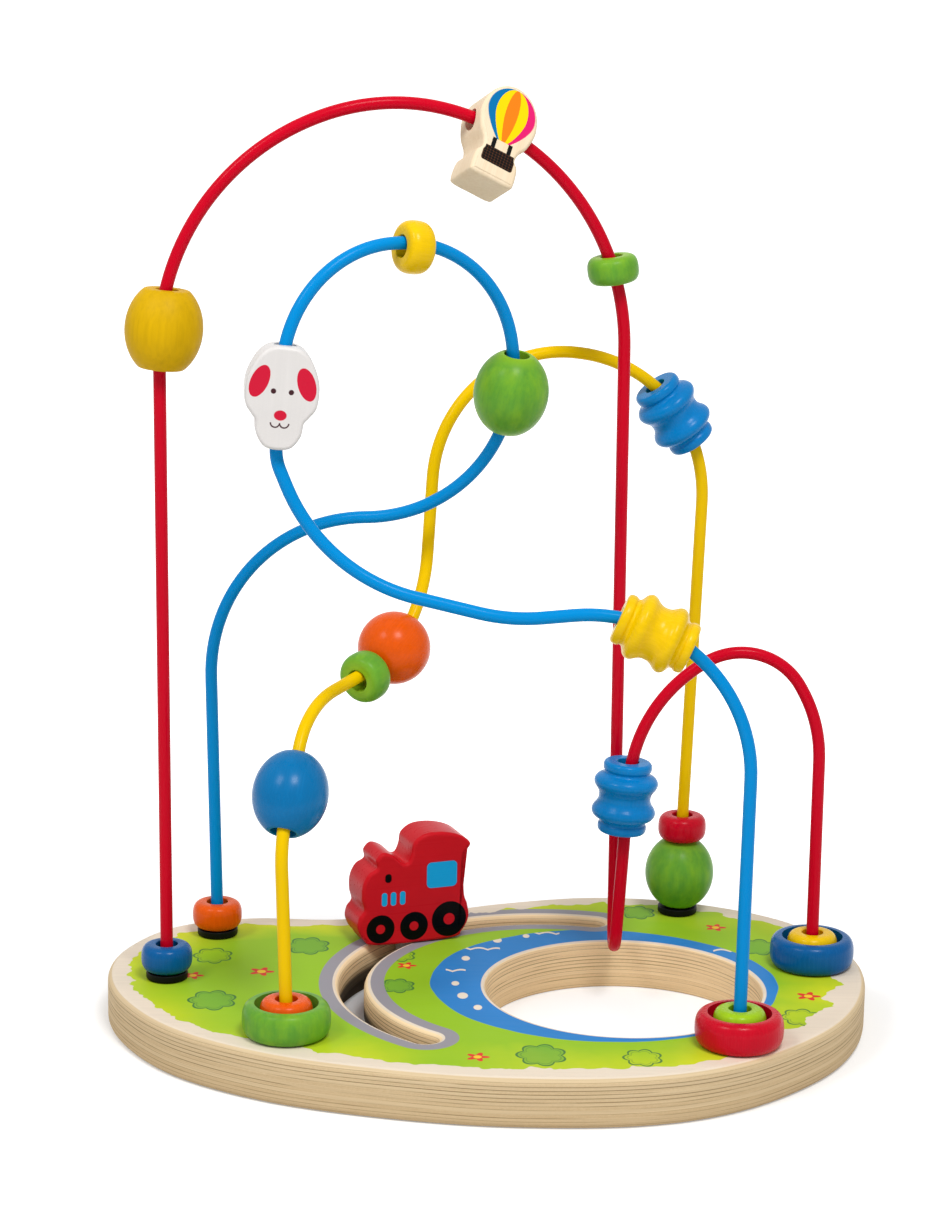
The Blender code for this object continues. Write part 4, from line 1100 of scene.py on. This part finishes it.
class MAZE_OT_wires(bpy.types.Operator):
    """Model the three coated wires"""

    bl_idname = "maze.wires"
    bl_label = "Wires"

    def execute(self, context):
        hairpin = on_board(HAIRPIN_SHARE) + Vector((0, 0, HAIRPIN_Z))
        turn = [(hairpin, HAIRPIN_HALF), (hairpin - Vector((0, 2 * HAIRPIN_HALF, 0)), HAIRPIN_HALF)]
        for colour, feet, corners in (
            ("red", RED_FEET, [*map(corner_of, RED_ARCH), *turn, *map(corner_of, RED_SMALL_ARCH)]),
            ("blue", BLUE_FEET, map(corner_of, BLUE_CORNERS)),
            ("yellow", YELLOW_FEET, map(corner_of, YELLOW_CORNERS)),
        ):
            wire = tube(colour + "_wire_coated", wire_points(feet, corners), COAT_RADIUS)
            shade = tuple(colours().wire_blue if colour == "blue" else getattr(colours(), colour))
            material = wire_coating(colour + " wire coating", shade)
            complete(wire, material, "maze", colour + "_wire", [colour + "_wire"])
        return {"FINISHED"}


class MAZE_OT_fastenings(bpy.types.Operator):
    """Model the black collars, and finish the washers, nuts and the train's guide"""

    bl_idname = "maze.fastenings"
    bl_label = "Fastenings"

    def execute(self, context):
        rubber, steel, grey = rubber_paint(), steel_paint(), sleeve_paint()
        low, high = BOARD_TOP + BORE_PLAY, BOARD_TOP + BORE_PLAY + COLLAR_HEIGHT
        inner = COAT_RADIUS + COLLAR_GAP
        turns = [k * math.pi / 8 for k in range(5)]
        corner = [
            (COLLAR_RADIUS - COLLAR_ROUND * (1 - math.sin(a)), COLLAR_ROUND * (1 - math.cos(a))) for a in turns
        ]
        profile = [(inner, high), *((r, high - z) for r, z in corner)]
        profile += [*((r, low + z) for r, z in reversed(corner)), (inner, low)]
        for colour, feet in (("red", RED_FEET), ("blue", BLUE_FEET), ("yellow", YELLOW_FEET)):
            for side, foot in zip(("left", "right"), feet):
                node = f"{colour}_{side}_collar"
                collar = moved(turned(node + "_moulded", profile, 64), *on_board(foot).xy)
                complete(collar, rubber, "maze", "black_plastic", [node])
                for part in ("washer", "nut"):
                    self.finish(f"{colour}_{side}_{part}", steel, "steel")
        self.finish("train_retainer_disc", steel, "steel")
        self.finish("train_screw", steel, "steel")
        self.finish("train_guide_sleeve", grey, "grey_plastic")
        return {"FINISHED"}

    def finish(self, node, material, slot):
        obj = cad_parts[node]
        obj.data.materials.clear()
        obj.data.materials.append(material)


class MAZE_OT_beads(bpy.types.Operator):
    """Model every turned bead: rings, large rings, eggs, the barrel, the ball and the ribbed beads"""

    bl_idname = "maze.beads"
    bl_label = "Beads"

    def execute(self, context):
        place_beads("ring", rounded_side(RING), RING[3], (
            ("blue_ring", "deep_blue"), ("yellow_ring_right", "yellow"), ("orange_ring_back", "orange"),
            ("green_ring_front", "lime_green"), ("orange_ring_front", "orange"), ("red_ring", "red"),
            ("yellow_ring_on_blue", "yellow"), ("green_ring_on_yellow", "green"),
            ("green_ring_on_red", "green"),
        ))
        place_beads("large_ring", rounded_side(LARGE_RING), LARGE_RING[3], (
            ("blue_large_ring", "deep_blue"), ("red_large_ring", "red"), ("green_large_ring", "green"),
        ))
        place_beads("egg", egg_side(EGG), EGG[3], (("green_egg", "green"), ("blue_egg", "blue")))
        place_beads("barrel", egg_side(BARREL), BARREL[3], (("yellow_barrel", "matt_yellow"),))
        place_beads("oval", egg_side(OVAL), OVAL[3], (("green_oval", "green"),))
        place_beads("ball", egg_side(BALL), BALL[3], (("orange_ball", "orange"),), BALL_ROUND)
        place_beads("ribbed", ribbed_side(), RIBBED_BORE, (
            ("blue_ribbed_low", "bright_blue"), ("blue_ribbed_high", "bright_blue"),
            ("yellow_ribbed", "yellow"),
        ))
        return {"FINISHED"}


def figure(name, outline, half_thick, raise_by):
    """A flat figure that stands in its own X and Z, with rounded edges."""
    obj = plate(name, outline, -half_thick, half_thick)
    for face in (lambda co: co.z < NEAR - half_thick, lambda co: co.z > half_thick - NEAR):
        soften(obj, face, sizes().figure_round, 5)
    obj.data.transform(Matrix.Rotation(math.pi / 2, 4, "X") @ Matrix.Translation((0, raise_by, 0)))
    return obj


def threaded_figure(node, finish, half_outline, size, raise_by, bore_turn, material, slot):
    """A figure with the same shape left and right, and the bore through which its wire runs."""
    right = [(x * size[0], y * size[1]) for x, y in half_outline]
    outline = smooth_loop(right + [(-x, y) for x, y in reversed(right[1:-1])], 8)
    obj = figure(node + finish, outline, FIGURE_HALF_THICK, raise_by)
    bore = rod("bore", RING[3], *FIGURE_CUT)
    bore.data.transform(bore_turn)
    carve(obj, bore)
    complete(obj, material, node, slot, [node], figure_place(node, size[1], raise_by))


class MAZE_OT_figures(bpy.types.Operator):
    """Model the balloon figure and the puppy figure on their wires"""

    bl_idname = "maze.figures"
    bl_label = "Figures"

    def execute(self, context):
        threaded_figure(
            "balloon_figure", "_printed", BALLOON_HALF_OUTLINE, BALLOON_SIZE, BALLOON_RAISE,
            Matrix.Rotation(math.pi / 2, 4, "Y"), balloon_paint(), "figure_wood",
        )
        threaded_figure(
            "puppy_figure", "_painted", PUPPY_HALF_OUTLINE, PUPPY_SIZE, 0.0,
            Matrix.Identity(4), puppy_paint(), "white_paint",
        )
        return {"FINISHED"}


class MAZE_OT_train(bpy.types.Operator):
    """Model the train that rides in the slot"""

    bl_idname = "maze.train"
    bl_label = "Train"

    def execute(self, context):
        outline = smooth_loop([(x * TRAIN_SIZE[0], y * TRAIN_SIZE[1]) for x, y in TRAIN_OUTLINE], 8)
        low = min(y for x, y in outline)
        train = figure("train_painted", outline, TRAIN_HALF_THICK, -low)
        carve(train, rod("screw_hole", TRAIN_HOLE_RADIUS, *TRAIN_HOLE_CUT, 32))
        complete(train, train_paint(), "train", "red_lacquer", ["train"], TRAIN_PLACE)
        return {"FINISHED"}


class MAZE_OT_stage(bpy.types.Operator):
    """Set up the floor, the soft lights, the white surroundings and the camera"""

    bl_idname = "maze.stage"
    bl_label = "Stage"

    def execute(self, context):
        stage = context.scene.maze_stage
        self.floor(stage.floor_glow)
        self.surroundings(stage.sky)
        self.lamp("key", KEY_PLACE, stage.key_power)
        self.lamp("fill", FILL_PLACE, stage.fill_power)
        context.scene.view_settings.view_transform = "Standard"
        self.camera()
        return {"FINISHED"}

    def floor(self, least):
        """A pale floor that glows for the camera, less near the maze and not at all under the slot."""
        bpy.ops.object.select_all(action="DESELECT")
        bpy.ops.mesh.primitive_plane_add(size=FLOOR_SIZE)
        floor = bpy.context.object
        floor.name = "floor"
        floor.data.transform(Matrix.Translation((0, FLOOR_SHIFT, 0)))
        paint = Surface("studio floor", 0.9, specular=0.0)
        soft = paint.noise(paint.place, 3.0)
        x, y, _ = paint.parts(paint.place)
        far = paint.reach(x, y - PATCH_Y).outside(PATCH_REACH, PATCH_BLUR)
        from_slot = abs(paint.reach(x - SLOT_PLACE[0], y - SLOT_PLACE[1]) - SLOT_RADIUS)
        slot = from_slot.inside(TRACK_WIDTH, 4 * MM) * x.inside(-10 * MM, 6 * MM)
        glow = self.seen(paint) * (far * (1 - least) + least - slot * least)
        paint.shader.inputs["Emission Strength"].default_value = 1.0
        pale = paint.mix(soft, (0.79, 0.79, 0.79), (0.81, 0.81, 0.81))
        shine = paint.mix(glow, (0, 0, 0), (1, 1, 1))
        floor.data.materials.append(paint.set(Base_Color=pale, Emission_Color=shine))

    def surroundings(self, strength):
        """White all around: full for the camera, weaker as a light."""
        world = bpy.data.worlds.new("studio")
        bpy.context.scene.world = world
        world.use_nodes = True
        sky = Paint(world.node_tree)
        light = world.node_tree.nodes["Background"]
        light.inputs["Color"].default_value = (1, 1, 1, 1)
        sky.tree.links.new((self.seen(sky) * (1 - strength) + strength).socket, light.inputs["Strength"])

    def camera(self):
        camera = bpy.data.objects.new("camera", bpy.data.cameras.new("camera"))
        bpy.context.scene.collection.objects.link(camera)
        camera.data.sensor_width = 36.0
        camera.data.lens = FOCAL_PIXELS / IMAGE_HEIGHT * camera.data.sensor_width
        camera.data.clip_start = 0.05
        camera.data.clip_end = 200.0
        tilt = Matrix.Rotation(CAMERA_TILT, 4, "X") @ Matrix.Rotation(CAMERA_ROLL, 4, "Z")
        camera.matrix_world = Matrix.Translation(CAMERA_PLACE) @ tilt
        bpy.context.scene.camera = camera

    def seen(self, paint):
        """1 for what the camera sees, directly or in a gloss or through glass."""
        rays = paint.node("ShaderNodeLightPath", output="Is Camera Ray")
        outputs = rays.socket.node.outputs
        return rays | Value(paint, outputs["Is Glossy Ray"]) | Value(paint, outputs["Is Transmission Ray"])

    def lamp(self, name, place, power):
        light = bpy.data.lights.new(name, "AREA")
        light.energy = power
        light.size = LAMP_SIZE
        lamp = bpy.data.objects.new(name, light)
        bpy.context.scene.collection.objects.link(lamp)
        aim = Vector(LAMP_AIM) - Vector(place)
        lamp.matrix_world = Matrix.Translation(place) @ aim.to_track_quat("-Z", "Y").to_matrix().to_4x4()


class MAZE_PT_panel(bpy.types.Panel):
    """The maze's pieces, colours and sizes"""

    bl_idname = "MAZE_PT_panel"
    bl_label = "Bead maze"
    bl_space_type = "VIEW_3D"
    bl_region_type = "UI"
    bl_category = "Bead maze"

    def draw(self, context):
        for operator in OPERATORS:
            self.layout.operator(operator.bl_idname)
        for group in (context.scene.maze_colours, context.scene.maze_sizes, context.scene.maze_stage):
            for name in group.__annotations__:
                self.layout.prop(group, name)


OPERATORS = (
    MAZE_OT_board, MAZE_OT_wires, MAZE_OT_fastenings, MAZE_OT_beads, MAZE_OT_figures, MAZE_OT_train,
    MAZE_OT_stage,
)
GROUPS = {"maze_colours": MazeColours, "maze_sizes": MazeSizes, "maze_stage": MazeStage}


def register():
    for each in (*GROUPS.values(), *OPERATORS, MAZE_PT_panel):
        bpy.utils.register_class(each)
    for name, group in GROUPS.items():
        setattr(bpy.types.Scene, name, PointerProperty(type=group))


def unregister():
    for name in GROUPS:
        delattr(bpy.types.Scene, name)
    for each in (MAZE_PT_panel, *reversed(OPERATORS), *reversed(GROUPS.values())):
        bpy.utils.unregister_class(each)


def main():
    register()
    for operator in OPERATORS:
        family, action = operator.bl_idname.split(".")
        getattr(getattr(bpy.ops, family), action)()


if __name__ == "__main__":
    main()
